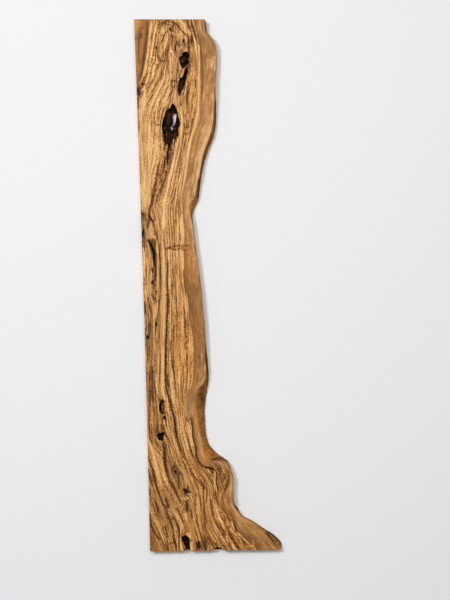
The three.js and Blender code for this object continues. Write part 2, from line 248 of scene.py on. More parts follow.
# Streaks by tone: the half width, how strong they are, then points down the slab
DARK_STREAKS = (
    (1.3, 0.7, ((191, 19), (193, 26), (196, 36), (198.6, 46))),
    (0.6, 0.8, ((183.6, 268), (184, 278), (184.8, 286), (187, 293))),
    (1.5, 0.75, ((171, 145), (170.4, 152), (169, 160))),
    (1.4, 0.8, ((165.4, 162), (163.6, 169), (162, 177), (160, 185))),
    (0.8, 0.7, ((145, 302), (145.4, 314))),
    (1.0, 0.95, ((172.6, 360), (173.4, 370), (174.8, 379))),
    (1.5, 1, ((147, 239.8), (150, 242.6), (151.8, 248), (153.6, 255), (154.6, 267))),
    (1.0, 0.7, ((151, 243), (153.4, 249), (154.6, 256), (155, 268))),
    (0.5, 0.55, ((158, 20), (155, 42), (151.5, 64))),
    (0.6, 0.55, ((160.5, 26), (156.7, 48), (154.5, 66))),
    (0.9, 0.45, ((187, 78), (187.5, 92), (187.4, 106))),
    (0.5, 0.5, ((181, 137), (177.6, 153), (173, 172), (167.5, 194), (164.6, 206))),
    (0.5, 0.5, ((153.9, 161), (152.2, 178), (150, 189), (149, 200))),
    (1.2, 0.6, ((163.3, 153), (158.3, 166.7), (156, 178), (153.9, 192), (151, 203), (148.6, 209))),
    (0.8, 0.5, ((167.2, 166.7), (164.4, 177.8), (160, 187.8), (157.2, 195.5), (154.6, 207))),
    (0.6, 1, ((162.6, 134), (163.4, 142))),
    (0.7, 1, ((165.4, 138), (165, 144), (163.6, 151))),
    (0.7, 0.95, ((168.6, 145), (168, 154), (167.4, 166))),
    (0.6, 1, ((173.6, 127), (173.6, 139))),
    (0.6, 0.95, ((176.8, 126), (176.6, 133), (175.4, 139))),
    (0.6, 0.9, ((171, 140), (169.6, 148), (170.4, 151))),
    (0.5, 0.8, ((172.6, 141), (171, 148))),
    (0.8, 0.8, ((157, 225), (157.4, 235), (159, 246), (159.8, 262), (160, 280))),
    (0.6, 0.35, ((173, 205), (172.8, 225), (173, 243))),
    (1.2, 0.5, ((144, 216), (143, 226), (145, 240))),
    (1.0, 0.9, ((164.2, 401.6), (161.6, 402), (160.4, 406), (160.6, 411), (163, 413.6))),
    (0.7, 0.6, ((171.6, 300), (171.4, 340), (171.4, 372))),
    (0.5, 0.5, ((169.4, 305), (169, 345), (168.8, 380), (172, 395))),
    (0.5, 0.45, ((160, 310), (160.2, 350), (159.8, 385))),
    (0.6, 0.6, ((153, 380), (156, 392), (158.6, 399))),
    (0.5, 0.5, ((178, 380), (179, 400), (181, 420), (184, 440))),
    (0.5, 0.5, ((181, 372), (181, 400), (182.6, 416))),
    (0.6, 0.7, ((176, 430), (178, 440), (183, 452), (188, 461), (193, 470))),
    (0.6, 0.65, ((185.4, 424), (187.2, 436), (191.4, 451), (196, 462), (203, 473))),
    (0.7, 0.6, ((214.4, 468), (216.8, 475), (216, 482), (217.6, 489), (218.6, 497))),
    (0.7, 0.75, ((228.2, 468), (228.6, 476), (228.2, 483), (226, 488), (222.4, 494))),
    (0.7, 0.55, ((209.6, 490), (210.4, 502), (211.6, 512), (216, 524), (226, 542), (230, 550))),
    (0.7, 0.55, ((200.8, 492), (200.6, 508), (201.6, 522), (205, 532), (211, 543))),
    (0.6, 0.55, ((196, 492), (195, 506), (197, 520), (199, 530))),
    (1.4, 0.45, ((152, 496), (156, 504), (158, 512))),
    (0.7, 0.3, ((150, 500), (153, 516), (158, 532), (163, 546))),
    (0.6, 0.7, ((166, 545.4), (170, 543), (174, 543.2), (177.4, 545.6))),
    (1.7, 0.45, ((147.4, 19), (146.9, 35), (145.4, 48), (141.6, 72), (139.4, 81))),
    (1, 0.25, ((139, 22), (138.6, 45), (139.6, 66))),
    (0.5, 0.6, ((159.5, 20), (157.5, 45))),
    (0.8, 0.85, ((160.5, 24), (166, 21.3), (170, 21.5), (173.5, 22.5), (177, 25), (180, 29),
        (188, 37))),
    (0.8, 0.6, ((161, 25.5), (164, 24), (171, 25.5))),
    (0.8, 0.7, ((170, 30), (166.5, 32), (164.5, 35), (162, 42))),
    (0.7, 0.8, ((171, 30), (172.5, 42))),
    (0.9, 0.65, ((160, 60), (163, 61), (166.5, 60))),
    (0.5, 0.6, ((164, 60), (164, 70))),
    (0.6, 0.65, ((162, 65), (161, 80))),
    (0.9, 0.8, ((191.4, 35), (192, 41))),
    (0.6, 0.6, ((190.5, 38), (191.5, 45))),
    (1.2, 0.5, ((182, 21), (186, 21.6))),
    (1.4, 0.45, ((188, 19), (188.2, 30))),
    (1.3, 0.5, ((198, 34), (200.2, 46))),
    (0.7, 0.75, ((200.5, 45), (202, 65), (201.5, 100))),
    (0.7, 0.6, ((195.5, 79), (195.5, 88))),
    (0.5, 0.4, ((204, 85), (210, 81))),
    (0.6, 0.7, ((159, 78), (153, 92), (150.5, 100))),
    (0.5, 0.6, ((168, 85), (163, 93), (160, 100))),
    (0.6, 0.8, ((169.6, 82), (172.5, 80.4), (175, 81), (177.4, 82.6))),
    (0.5, 0.6, ((170.8, 86), (174, 87), (177, 86))),
    (0.9, 0.8, ((140.4, 84), (147, 84.4))),
    (0.9, 0.5, ((138.5, 96), (138.5, 110))),
    (0.6, 0.8, ((153, 122), (156, 124.5), (161, 124.5))),
    (0.4, 0.6, ((157.3, 130), (157.3, 140))),
    (0.7, 0.6, ((185, 126), (186.6, 127.2), (188.6, 126))),
    (0.6, 0.55, ((183, 132), (186, 134.4), (190, 131.6))),
    (0.6, 0.6, ((187, 95), (187, 105))),
    (0.7, 0.75, ((165.5, 156), (164.7, 165))),
    (0.6, 0.7, ((168, 150), (167.5, 160))),
    (1, 0.65, ((159, 164), (157, 180), (155, 186))),
    (0.5, 0.65, ((181, 155), (178.5, 180))),
    (1, 0.6, ((167, 170), (166, 178), (162, 186), (160, 194))),
    (0.5, 0.5, ((145, 190), (144.6, 198))),
    (0.9, 0.6, ((154.6, 190), (152.1, 203.8), (149.6, 208.8), (148.7, 213.8))),
    (0.8, 0.95, ((148.7, 213.8), (149.4, 216.5), (152.8, 222.5))),
    (0.6, 0.8, ((149.8, 220), (149.3, 225), (147.1, 228.8))),
    (1.3, 1, ((144, 229.6), (142.6, 233), (141.6, 238))),
    (0.6, 0.65, ((159.5, 242), (160, 268))),
    (0.5, 0.65, ((165.8, 250), (167.5, 270))),
    (0.7, 0.45, ((179, 180), (177, 200), (174.5, 216), (174, 236))),
    (0.7, 1, ((164, 249), (169, 247.4), (173, 246.4), (177, 245.4), (182, 246.6), (187, 245.6),
        (191, 246.6))),
    (0.7, 1, ((164, 249.6), (170, 248.8), (175, 249.4), (180, 248.8), (185, 249.8), (188, 249.4),
        (190.6, 248))),
    (1.0, 1.0, ((167.3, 250), (167.3, 285), (168.2, 298), (166.3, 335), (165.6, 382), (167.6, 393),
        (170.6, 405), (174, 420), (175.4, 432), (180, 450))),
    (0.6, 0.6, ((172.6, 250), (172.8, 280), (172.4, 300))),
    (0.5, 0.5, ((175.6, 252), (175.8, 285))),
    (0.6, 0.6, ((160.5, 264), (160, 304))),
    (0.9, 0.85, ((152.4, 268), (152.6, 273))),
    (0.8, 0.7, ((154, 278), (154, 290))),
    (0.8, 0.7, ((151.5, 293), (152.5, 296), (155, 300))),
    (0.7, 0.75, ((148, 296), (150.5, 310), (152, 313))),
    (0.6, 0.7, ((158.5, 300), (158.5, 308), (157, 316), (155.5, 335))),
    (0.5, 0.6, ((171.8, 300), (171.8, 325))),
    (1.8, 0.5, ((149.4, 320), (149.6, 328), (149, 335))),
    (0.8, 0.75, ((147.5, 344), (147.5, 365))),
    (0.6, 0.7, ((147, 372), (151, 381))),
    (0.6, 0.7, ((149.3, 395), (149.3, 430))),
    (0.5, 0.6, ((150.8, 385), (150.8, 400))),
    (0.9, 0.9, ((159, 400), (161.5, 400.4), (164, 401.5))),
    (0.9, 0.8, ((160.5, 404), (160.6, 409))),
    (0.8, 0.8, ((162, 413.5), (164.5, 413))),
    (0.6, 0.55, ((165, 411), (169, 416))),
    (0.7, 0.8, ((164.4, 416), (165, 419.5))),
    (0.8, 0.9, ((189.4, 419), (191.6, 419.4))),
    (0.6, 0.8, ((191, 419), (192.3, 423), (193, 437), (196, 447), (195.8, 452), (197, 457),
        (199, 461), (203, 466.5), (207, 467.8), (210, 467), (212, 468.5), (214, 469.3))),
    (1.1, 1, ((190.4, 418), (192.4, 427), (193, 437), (195.8, 447), (196.6, 457), (201, 464.6),
        (207, 467.6), (213, 469))),
    (0.7, 0.7, ((149.5, 424), (149.5, 432), (150.5, 440), (152.5, 444))),
    (0.6, 0.95, ((147.2, 448), (148, 456), (153, 471), (157.5, 489), (164, 505), (165.5, 506),
        (167.5, 515))),
    (1.1, 0.9, ((164, 443), (165.3, 466), (169.5, 480), (171.5, 485), (174.5, 489), (178.5, 498),
        (182.5, 505))),
    (0.8, 0.75, ((175, 424), (176, 432), (180, 448), (182, 454), (190, 466), (193, 473),
        (196, 478), (199, 480), (202, 484), (204, 488))),
    (0.5, 0.85, ((206.5, 486), (206.5, 504))),
    (0.6, 0.7, ((203, 490), (203.5, 512))),
    (0.6, 0.75, ((211.5, 499), (212, 506), (214.5, 517))),
    (0.8, 0.7, ((149.8, 518), (150.5, 524), (152.5, 529), (154.5, 533), (160, 541))),
    (1.7, 0.55, ((166, 497), (168.4, 510))),
    (0.6, 0.9, ((167.8, 503), (168.5, 507))),
    (0.6, 0.5, ((166, 510), (172, 526), (173.5, 532), (173.5, 540), (175, 545))),
    (0.8, 0.85, ((171.5, 515), (176.5, 523), (178, 527), (179, 532), (178.5, 545), (179, 551))),
    (0.6, 0.7, ((165.5, 525), (168, 545))),
    (0.9, 0.8, ((186.4, 500), (187.8, 511))),
    (0.7, 0.6, ((195.5, 520), (196.5, 524))),
    (0.7, 0.7, ((194, 528), (198, 539), (199, 545))),
    (0.7, 0.75, ((203.5, 505), (204.5, 513), (207, 524))),
    (0.6, 0.7, ((204, 520), (205, 527), (209, 535), (217, 547))),
    (1.4, 0.6, ((203.4, 535), (205.6, 542), (206.6, 550))),
    (0.7, 0.7, ((221, 508), (231, 517), (233, 521))),
    (0.8, 0.95, ((233.6, 522.5), (236.5, 532))),
    (1.1, 0.75, ((249, 540), (251.5, 544))),
    (0.7, 0.7, ((255, 545), (258, 550))),
    (0.6, 0.7, ((216, 520), (218, 526), (221, 529), (225, 538))),
    (0.6, 0.65, ((225, 540), (229, 545), (232, 550))),
    (0.6, 0.65, ((218, 537), (226, 549))),
    (0.6, 0.6, ((224.5, 515), (224.5, 522))),
    (1.1, 0.6, ((226.4, 526.6), (229.4, 527.6))),
    (2.4, 0.45, ((238, 528), (246, 535), (262, 547))),
    (1.1, 0.7, ((148.6, 239), (151.4, 244), (153.6, 252), (154.8, 262), (155.2, 282))),
    (1.9, 1, ((148.6, 240.6), (150.6, 244), (152.4, 248.6), (153.6, 254), (154.2, 260))),
    (2.2, 0.35, ((147, 241), (155, 240.6), (157.6, 246))),
    (1.3, 0.6, ((155.6, 252), (157, 258), (156.4, 270), (155, 282))),
    (0.9, 0.8, ((150.8, 204), (149.4, 212), (148.6, 220), (147, 229))),
    (0.8, 0.7, ((151, 219), (153.4, 223), (155.4, 231), (157, 241))),
    (0.9, 0.6, ((184.9, 250), (184.9, 268), (186, 284), (188, 297))),
    (0.8, 0.9, ((191, 419), (192.6, 424), (193.4, 437), (196.2, 447), (196.6, 456), (200, 463),
        (206.6, 467.4))),
    (1.0, 0.7, ((179, 472), (178.6, 480), (179.4, 489))),
    (1.2, 0.6, ((176.6, 136), (175.4, 141), (173, 146))),
    (1.0, 0.6, ((180.4, 90), (180, 97))),
    (0.9, 0.6, ((193.4, 92), (193.2, 98))),
    (0.9, 0.6, ((181.4, 49), (181, 57))),
    (0.9, 0.6, ((187.6, 62), (187.2, 70))),
    (0.9, 0.6, ((179.4, 73), (179, 79))),
    (0.8, 0.6, ((139.2, 122), (139, 132))),
    (0.9, 0.6, ((156.6, 184), (155.6, 192))),
    (1.0, 0.6, ((157.8, 193), (156.4, 201))),
    (1.0, 0.6, ((154.6, 214), (154.6, 222))),
    (0.8, 0.6, ((155.4, 289), (156, 304))),
    (0.8, 0.5, ((146, 364), (146.4, 372))),
    (0.9, 0.5, ((154, 406), (154.4, 416))),
    (0.9, 0.6, ((165.6, 417), (166.6, 427))),
    (0.9, 0.6, ((185, 417), (185.4, 427))),
    (0.9, 0.6, ((161, 424), (162, 434))),
    (1.1, 0.6, ((161.6, 443), (164, 448), (166, 457))),
    (0.9, 0.6, ((203.4, 483), (204.4, 492))),
    (0.9, 0.6, ((149.6, 486), (150.6, 496))),
    (1.1, 0.6, ((191.4, 508), (192.4, 520))),
    (0.9, 0.7, ((221.6, 503), (226, 513), (230.6, 522.6))),
    (1.2, 0.45, ((199.6, 533), (202, 540), (202.6, 550))),
    (0.7, 0.8, ((196.6, 541), (197, 551))),
    (1.6, 0.22, ((203, 158), (196, 168), (189, 175))),
    (1.4, 0.22, ((199, 176), (193, 185), (187, 190))),
    (0.9, 0.35, ((187, 197.6), (191, 196.6), (196, 197))),
    (0.6, 0.5, ((224.6, 466), (227.4, 473), (227.2, 481), (225.4, 488))),
    (1.4, 0.5, ((214.6, 464.6), (219, 466.4), (221.6, 470))),
    (1.3, 0.3, ((185, 271), (185.6, 284), (188.2, 298))),
    (0.5, 0.9, ((183.4, 306), (184.6, 311), (184, 317))),
    (0.5, 0.9, ((186.2, 319), (185, 323), (185.6, 328))),
    (0.5, 0.9, ((184.4, 331), (185.6, 335), (184.8, 340))),
    (0.5, 0.9, ((186, 341), (184.8, 345), (185.4, 350))),
    (0.5, 0.9, ((186.6, 352), (187.8, 356), (187, 361))),
    (0.5, 0.9, ((186.4, 363), (187.8, 368), (187.2, 374))),
    (0.7, 0.5, ((201.2, 541), (201.6, 551))),
)
PALE_STREAKS = (
    (2.2, 0.35, ((206, 142), (201, 152), (194, 163))),
    (0.6, 0.8, ((182.4, 213), (183.2, 228), (183.4, 246))),
    (0.6, 0.7, ((182.8, 249), (182.4, 258), (182.8, 269))),
    (2.0, 0.35, ((203, 163), (197, 173), (190, 181))),
    (2.0, 0.35, ((188.6, 199), (189, 206), (187.4, 214))),
    (0.7, 0.7, ((215.4, 470), (215.2, 478), (216, 486), (217.4, 493))),
    (0.7, 0.7, ((167, 88), (162.6, 97), (158, 108))),
    (0.6, 0.75, ((172, 94), (168.6, 100), (164, 107))),
    (0.7, 0.6, ((162, 108), (160, 118), (158.4, 127))),
    (1.3, 0.95, ((143.4, 248), (144.4, 262), (144.6, 278))),
    (1.2, 0.75, ((168.6, 313), (170, 328), (171, 342))),
    (1.0, 0.85, ((188.4, 324), (189.6, 336), (190.8, 350), (191.2, 362))),
    (1.8, 0.45, ((177, 398), (180, 420))),
    (1.5, 0.95, ((179.6, 414), (181.6, 425), (183.4, 434), (186, 443), (188.4, 451))),
    (0.9, 0.85, ((186, 465), (190, 474.5), (194, 483))),
    (1.8, 0.6, ((198, 498), (199.6, 512), (201, 530))),
    (1.8, 0.5, ((149.5, 503), (153, 517), (160, 530), (164, 541))),
    (2, 0.55, ((180, 518), (183.4, 530), (183, 537))),
    (0.8, 1, ((151.5, 20), (148, 50), (146, 62), (143, 76), (140.5, 84))),
    (0.7, 0.9, ((157.5, 20), (155.5, 28), (150.5, 60))),
    (0.5, 0.65, ((154.5, 55), (154.4, 66), (153, 80))),
    (1, 0.8, ((167, 38), (165, 43), (163, 50), (160, 56))),
    (1.8, 0.9, ((177, 19), (181, 21.4), (184.5, 25), (188.5, 32), (192, 36))),
    (1.1, 0.9, ((193.1, 37.3), (196.3, 42.3), (198.8, 48.5), (199.5, 56))),
    (0.7, 0.8, ((172, 57), (170, 63), (168.5, 70))),
    (0.8, 0.85, ((166, 76), (162, 84), (157, 92), (152, 103))),
    (0.8, 0.8, ((170, 80), (160, 100))),
    (0.7, 0.5, ((166, 75), (146, 103), (141, 118), (139.5, 135))),
    (1.5, 0.9, ((144, 87), (145, 95), (143, 101), (141, 105))),
    (0.7, 0.7, ((147, 98), (144, 104), (142, 112), (141, 120))),
    (0.7, 0.7, ((160, 97), (154, 110), (152, 120))),
    (0.6, 0.65, ((158.5, 130), (158, 137), (156, 150))),
    (0.9, 0.7, ((184, 117), (184.4, 120), (184, 123))),
    (0.8, 0.5, ((192, 114), (192, 119))),
    (1.0, 1, ((179.5, 135), (175.7, 152), (171, 172), (166.8, 194), (163.2, 208))),
    (0.5, 0.65, ((183, 137), (180, 149), (174.6, 172), (169.2, 194), (166, 208))),
    (0.6, 0.65, ((157.8, 136.7), (155, 155.5), (151.6, 170), (147.6, 190))),
    (0.8, 1, ((198.6, 62), (198.6, 100), (196.4, 122), (191.8, 136.7), (189.6, 147.8), (188, 159),
        (186, 171), (184, 184.4), (181.8, 195.5), (181.2, 207))),
    (0.6, 0.8, ((198.2, 70), (198.2, 100), (196, 121), (189.2, 147.8), (185.6, 171), (183.8, 184))),
    (0.5, 0.6, ((194, 66), (194, 90), (192.6, 108))),
    (1.7, 0.75, ((181.4, 249.6), (181.4, 268), (182.4, 285))),
    (0.7, 0.7, ((169.5, 262), (169.7, 300))),
    (0.8, 0.7, ((157.6, 238), (157.6, 252), (157.4, 270))),
    (0.8, 0.6, ((180.6, 216), (181.4, 230), (181.6, 244))),
    (0.9, 1, ((212.2, 112), (212.4, 121), (211.8, 129))),
    (0.7, 0.9, ((214.4, 470), (215.6, 480), (214.8, 487), (218.4, 492), (219.2, 499))),
    (0.6, 0.8, ((228.4, 514.4), (231.8, 519.6))),
    (0.6, 0.7, ((229, 521), (233.4, 527.4))),
    (0.8, 0.6, ((191, 492), (192, 506), (194.6, 520), (198, 533), (200.6, 545))),
    (0.9, 0.7, ((208.4, 492), (208.8, 506), (212, 519), (219, 532), (228, 547))),
    (0.9, 0.6, ((204.6, 486), (205, 500))),
    (1.2, 0.6, ((163, 212), (163, 230))),
    (1, 0.6, ((144.6, 218), (145.6, 232))),
    (0.7, 0.6, ((157, 240), (157, 250))),
    (0.7, 0.55, ((158.5, 257), (158.5, 266))),
    (0.9, 0.95, ((163.5, 248), (163.5, 270))),
    (0.7, 0.75, ((169, 249), (169, 261))),
    (0.7, 0.75, ((171.5, 204), (171.5, 217))),
    (0.6, 0.7, ((184, 222), (184, 246))),
    (0.5, 0.6, ((180.3, 216), (180.3, 226))),
    (0.8, 0.9, ((183.5, 250), (183.5, 270))),
    (1.8, 0.75, ((155.5, 303), (155.5, 312), (154, 320))),
    (1.9, 0.6, ((164.2, 264), (163.6, 340))),
    (0.6, 0.75, ((170.5, 289), (170.5, 321))),
    (0.5, 0.65, ((172.5, 299), (172.5, 319))),
    (0.5, 0.75, ((174.5, 304), (174.5, 326))),
    (0.5, 0.6, ((182.5, 294), (182.5, 311))),
    (1.2, 0.9, ((186.8, 292), (187.4, 313))),
    (1.4, 0.9, ((190.8, 326), (191.8, 338), (192, 353))),
    (1.4, 0.85, ((163.5, 344), (162.5, 385), (163.5, 393), (166, 399), (168, 410), (170.5, 414),
        (172, 418))),
    (0.7, 0.7, ((158, 372), (157.5, 385), (158, 393), (159.5, 398))),
    (0.7, 0.7, ((170, 365), (171.5, 374), (171, 385))),
    (0.5, 0.5, ((172.5, 378), (175, 400))),
    (0.8, 0.5, ((164.5, 421), (164.5, 425))),
    (1.6, 0.9, ((188.4, 422), (190, 434), (192.6, 446))),
    (2, 0.9, ((147.5, 438), (153, 454), (161.5, 488))),
    (1.7, 0.55, ((160.5, 449), (163.5, 474), (166.5, 486))),
    (0.8, 0.8, ((171, 448), (173, 456), (177, 464), (182, 470), (186, 477), (191, 488))),
    (1, 0.95, ((185, 450), (187, 458), (196, 476), (200, 482))),
    (0.6, 0.7, ((215, 471), (213.5, 476), (215, 482), (214.5, 490))),
    (0.6, 0.7, ((218, 488), (219.5, 497))),
    (1, 0.5, ((231, 466), (231.4, 478), (230.6, 490))),
    (1, 0.8, ((196.5, 496), (197, 504))),
    (0.8, 0.65, ((182, 498.4), (186, 499), (190, 497.6))),
    (0.7, 0.7, ((171, 500), (172, 508), (179, 519))),
    (2, 0.7, ((174.6, 511), (178.6, 519))),
    (1.2, 0.75, ((184.6, 512), (186.6, 520))),
    (1.3, 0.7, ((181, 538), (181.6, 551))),
    (0.7, 0.8, ((207.5, 529), (213, 539), (216, 542))),
    (0.8, 0.8, ((215, 500), (217, 512), (220, 520), (236, 550))),
    (1.2, 0.55, ((226.6, 529), (227.6, 545))),
    (0.8, 0.8, ((252.6, 539), (254, 546))),
)
ORANGE_STREAKS = (
    (0.9, 0.6, ((199.8, 62), (200, 86), (199.6, 100), (197.8, 124), (193.2, 136), (190, 155),
        (186.4, 175), (182.6, 199))),
    (1.8, 0.45, ((167.4, 110), (168.4, 117), (166.6, 125))),
    (1.2, 0.5, ((172.6, 108), (173.4, 111))),
    (0.8, 0.8, ((166.6, 130), (166.4, 136), (166, 144))),
    (0.5, 0.5, ((169.4, 131), (169.2, 138), (168.6, 145))),
    (0.8, 0.9, ((174.6, 131), (174.2, 136), (173.2, 142))),
    (1.6, 0.9, ((181.4, 52), (181.6, 57), (182, 62))),
    (1.3, 0.9, ((182, 78), (180.8, 84), (180, 91))),
    (0.8, 0.8, ((215.2, 470), (216, 479), (215.6, 486), (218.4, 491), (219.4, 499))),
    (1, 0.7, ((194, 208), (197, 214))),
    (0.6, 0.7, ((142, 128), (140.5, 150))),
    (1.5, 0.7, ((153.6, 203), (155.6, 215))),
    (1.2, 0.8, ((183, 247.8), (192, 247.8))),
    (1, 0.7, ((187, 305), (187.2, 318))),
    (1, 0.6, ((147.5, 378), (147.6, 434))),
    (2.6, 0.4, ((206, 452), (212, 458))),
    (3.6, 0.5, ((246, 542), (254, 548))),
)
GREY_STREAKS = (
    (2, 0.85, ((175, 34), (175, 43))),
    (1.6, 0.55, ((162, 60.4), (166, 60.4))),
    (1.6, 0.5, ((190.6, 52), (192.4, 62), (194, 66))),
    (2.2, 0.6, ((181, 101), (181, 105))),
    (2.3, 0.8, ((172.2, 144), (173, 150), (168.6, 168))),
    (1.8, 0.6, ((166.6, 171), (160, 194))),
    (1.6, 0.6, ((157.5, 193), (158, 203))),
    (1.6, 0.6, ((157, 198), (161.5, 235))),
    (1.2, 0.5, ((173.5, 264), (173.5, 290))),
    (2.6, 0.5, ((165, 443), (166.6, 452))),
    (3.6, 0.5, ((172.6, 456), (180.6, 489))),
)
PINK_STREAKS = (
    (3.2, 0.6, ((174.8, 54), (173.4, 75))),
    (4, 0.7, ((176, 50), (181, 47.4), (185, 46))),
    (3.4, 0.7, ((174.6, 92), (178.4, 104))),
    (2.4, 0.7, ((189.6, 195), (189.4, 215))),
    (2.3, 0.9, ((151.5, 224), (151.6, 240))),
    (1.8, 0.6, ((155.5, 303), (154, 320))),
    (4, 0.55, ((191, 392), (189.6, 406), (189, 418))),
    (2.6, 0.6, ((199, 432), (201, 450), (206, 462))),
    (6, 0.3, ((146, 104), (148, 150), (148, 196))),
)

# Spots and patches: across and down, half width and half length, and how strong they are
DARK_SPOTS = (
    (176.4, 43, 1.2, 3, 0.75), (180, 45, 1.6, 1.6, 0.75), (185, 45.5, 1.3, 3.4, 0.75),
    (178, 71, 1, 2.6, 0.75), (179, 94.4, 1, 1.8, 1), (180.4, 104, 1.2, 3, 0.75),
    (142, 28, 1.6, 1.2, 0.35), (141, 35.5, 1.4, 2.4, 0.3), (170, 28.5, 1.3, 1.3, 1),
    (191, 27, 1.2, 0.9, 0.75), (156.2, 47.5, 1, 1.4, 0.8), (199.3, 72.5, 0.7, 1, 0.6),
    (200, 87, 0.8, 0.7, 0.65), (139, 91.6, 2, 4.2, 0.95), (188, 112.5, 0.6, 0.6, 0.7),
    (185.5, 115.5, 0.6, 0.6, 0.7), (193, 119.5, 0.6, 0.6, 0.6), (165.5, 172, 0.8, 1, 0.8),
    (141.8, 214.2, 1.4, 1.3, 1), (183, 252, 0.5, 0.6, 0.6), (183, 254.5, 0.5, 0.6, 0.6),
    (183, 257, 0.5, 0.6, 0.6), (187, 255, 1.2, 0.5, 0.6), (182.3, 212.5, 0.8, 0.7, 0.8),
    (144.6, 225, 2.6, 16, 0.35), (152.5, 282.4, 1.4, 1.6, 1), (152.5, 270, 1.3, 1.5, 0.8),
    (166.5, 295, 0.8, 1, 0.7), (147.4, 337, 1.8, 2.6, 0.85), (156.2, 324.8, 0.8, 1, 0.9),
    (185, 312, 0.6, 0.6, 0.7), (185.5, 319, 0.6, 0.6, 0.7), (184, 321.5, 0.5, 0.5, 0.7),
    (186, 324, 0.5, 0.5, 0.7), (187, 326, 0.5, 0.5, 0.6), (191, 321, 0.6, 0.6, 0.7),
    (191, 324, 0.5, 0.5, 0.7), (194, 325, 0.5, 0.5, 0.6), (187.3, 336.5, 0.6, 0.6, 0.7),
    (187.5, 338.5, 0.5, 0.5, 0.7), (185.3, 342.5, 0.6, 0.6, 0.7), (188, 350, 0.5, 0.6, 0.6),
    (146.6, 344, 0.8, 1, 0.8), (153, 372, 0.8, 1, 0.8), (152.5, 388, 0.8, 1, 0.7),
    (163.6, 407.5, 1.2, 3.4, 0.6), (190.5, 419, 1.1, 0.7, 0.9), (156, 430, 2.4, 6, 0.45),
    (152, 372, 4, 22, 0.22), (175.3, 471.8, 1.5, 1.6, 1), (174, 466, 1.4, 1.6, 0.6),
    (186, 490.4, 2.4, 1.3, 1), (185.6, 492.4, 1.3, 1.8, 1), (188.2, 491.8, 1.6, 0.9, 0.9),
    (187, 510, 1.1, 1.2, 0.7), (138, 90.6, 1.5, 1.8, 1), (139, 94, 1.2, 1.6, 0.9),
    (175.2, 49, 0.8, 3, 0.9), (183.7, 41, 1, 2, 0.8), (184, 318, 0.6, 0.8, 0.7),
    (184.5, 327, 0.6, 0.9, 0.7), (187, 357, 0.6, 1.6, 0.8), (186.5, 364, 0.5, 1, 0.6),
    (150.6, 219, 1.6, 1.4, 0.8),
    (144.6, 219.5, 1.8, 1.2, 0.6), (200, 546.5, 1.1, 2.2, 0.7), (204.6, 543, 1.1, 2.6, 0.6),
    (219.5, 468, 2.2, 3.4, 0.3), (218.6, 475, 1.6, 3, 0.2), (222.4, 472, 0.7, 2.6, 0.3),
    (225.4, 477, 0.6, 2.4, 0.3), (219, 483.4, 1, 2.2, 0.2), (224.6, 466, 1.6, 0.8, 0.3),
    (221.8, 489, 0.8, 1.6, 0.3), (226.8, 488, 0.8, 1.4, 0.3), (184.6, 489.4, 1.5, 1, 1),
    (186.6, 491.2, 2.1, 1.3, 1), (185.8, 493.2, 1, 1.2, 1), (173.4, 467.6, 1.5, 1.5, 0.8),
    (177.6, 474.6, 1.3, 1, 0.6), (171.6, 471, 0.7, 3, 0.5), (142.6, 233, 1, 3.2, 1),
    (187.4, 508, 1.4, 3, 0.5), (158, 509, 1.6, 3, 0.5), (204, 488, 1.6, 1.6, 0.5),
    (198.6, 544.4, 2, 2.4, 0.7), (205.4, 547, 1.5, 2.8, 0.6),
    (163, 403.6, 1.8, 2.4, 0.85), (161.2, 408, 1.2, 3.6, 0.8), (163.4, 410.6, 1, 2, 0.5),
    (141.8, 214.4, 2.4, 2.1, 1), (153, 478, 1.6, 6, 0.4),
)
PALE_SPOTS = (
    (163, 31, 2, 3.4, 0.9), (180.6, 34, 2.2, 4.4, 0.7), (195.8, 47, 2.6, 7.5, 0.45),
    (212.5, 65, 2.5, 5, 0.35), (139, 111, 0.9, 1.2, 0.8), (181, 187, 0.9, 1, 0.8),
    (144.6, 194, 4.5, 14, 0.5), (149, 150, 8, 28, 0.18), (164.6, 212, 3, 20, 0.35),
    (181.6, 114, 2.2, 9, 0.3), (179.5, 230, 3, 14, 0.25), (202, 162, 2, 10, 0.3),
    (151.4, 231, 1.7, 6.4, 0.55), (203.4, 156, 2.6, 14, 0.45), (163.6, 423, 1.1, 2.4, 0.7),
    (224, 484.5, 1.6, 2.6, 0.4), (221, 495, 1.6, 3, 0.35), (175.4, 20.6, 1.6, 1.4, 0.8),
    (159, 37, 1.1, 4, 0.9), (172.2, 77, 1.2, 2.4, 0.8), (202.4, 163, 1, 3.4, 0.6),
    (198.4, 179, 1, 3.4, 0.7), (143.6, 222.6, 1, 3, 0.8), (178.4, 332, 1, 4, 0.7),
    (172.4, 351, 1, 5, 0.7), (152.6, 364, 1, 4, 0.8), (174.4, 505, 1.2, 3.4, 0.7),
    (196.6, 511, 1.2, 4, 0.8), (161.4, 524, 1.2, 4, 0.7), (183.4, 538, 1, 3, 0.8),
    (185.6, 516.5, 1.8, 4, 0.6), (184.6, 498.4, 4, 0.9, 0.8), (202, 546, 0.6, 2.4, 0.4),
)
ORANGE_SPOTS = (
    (181, 350, 7, 42, 0.5), (182, 270, 4, 34, 0.4), (188.6, 370, 2.6, 9, 0.6),
    (207, 453.6, 4.5, 5, 1), (187.6, 256, 4, 7, 0.3), (192, 110, 5, 40, 0.3),
    (228, 518, 5, 6, 0.4), (200, 470, 8, 12, 0.3), (206, 520, 12, 30, 0.25),
    (200, 424, 4, 22, 0.3), (196, 330, 5, 30, 0.3), (210, 452, 3.4, 4.4, 1),
    (189, 274, 4.4, 20, 0.45), (226, 512, 4, 12, 0.4),
)
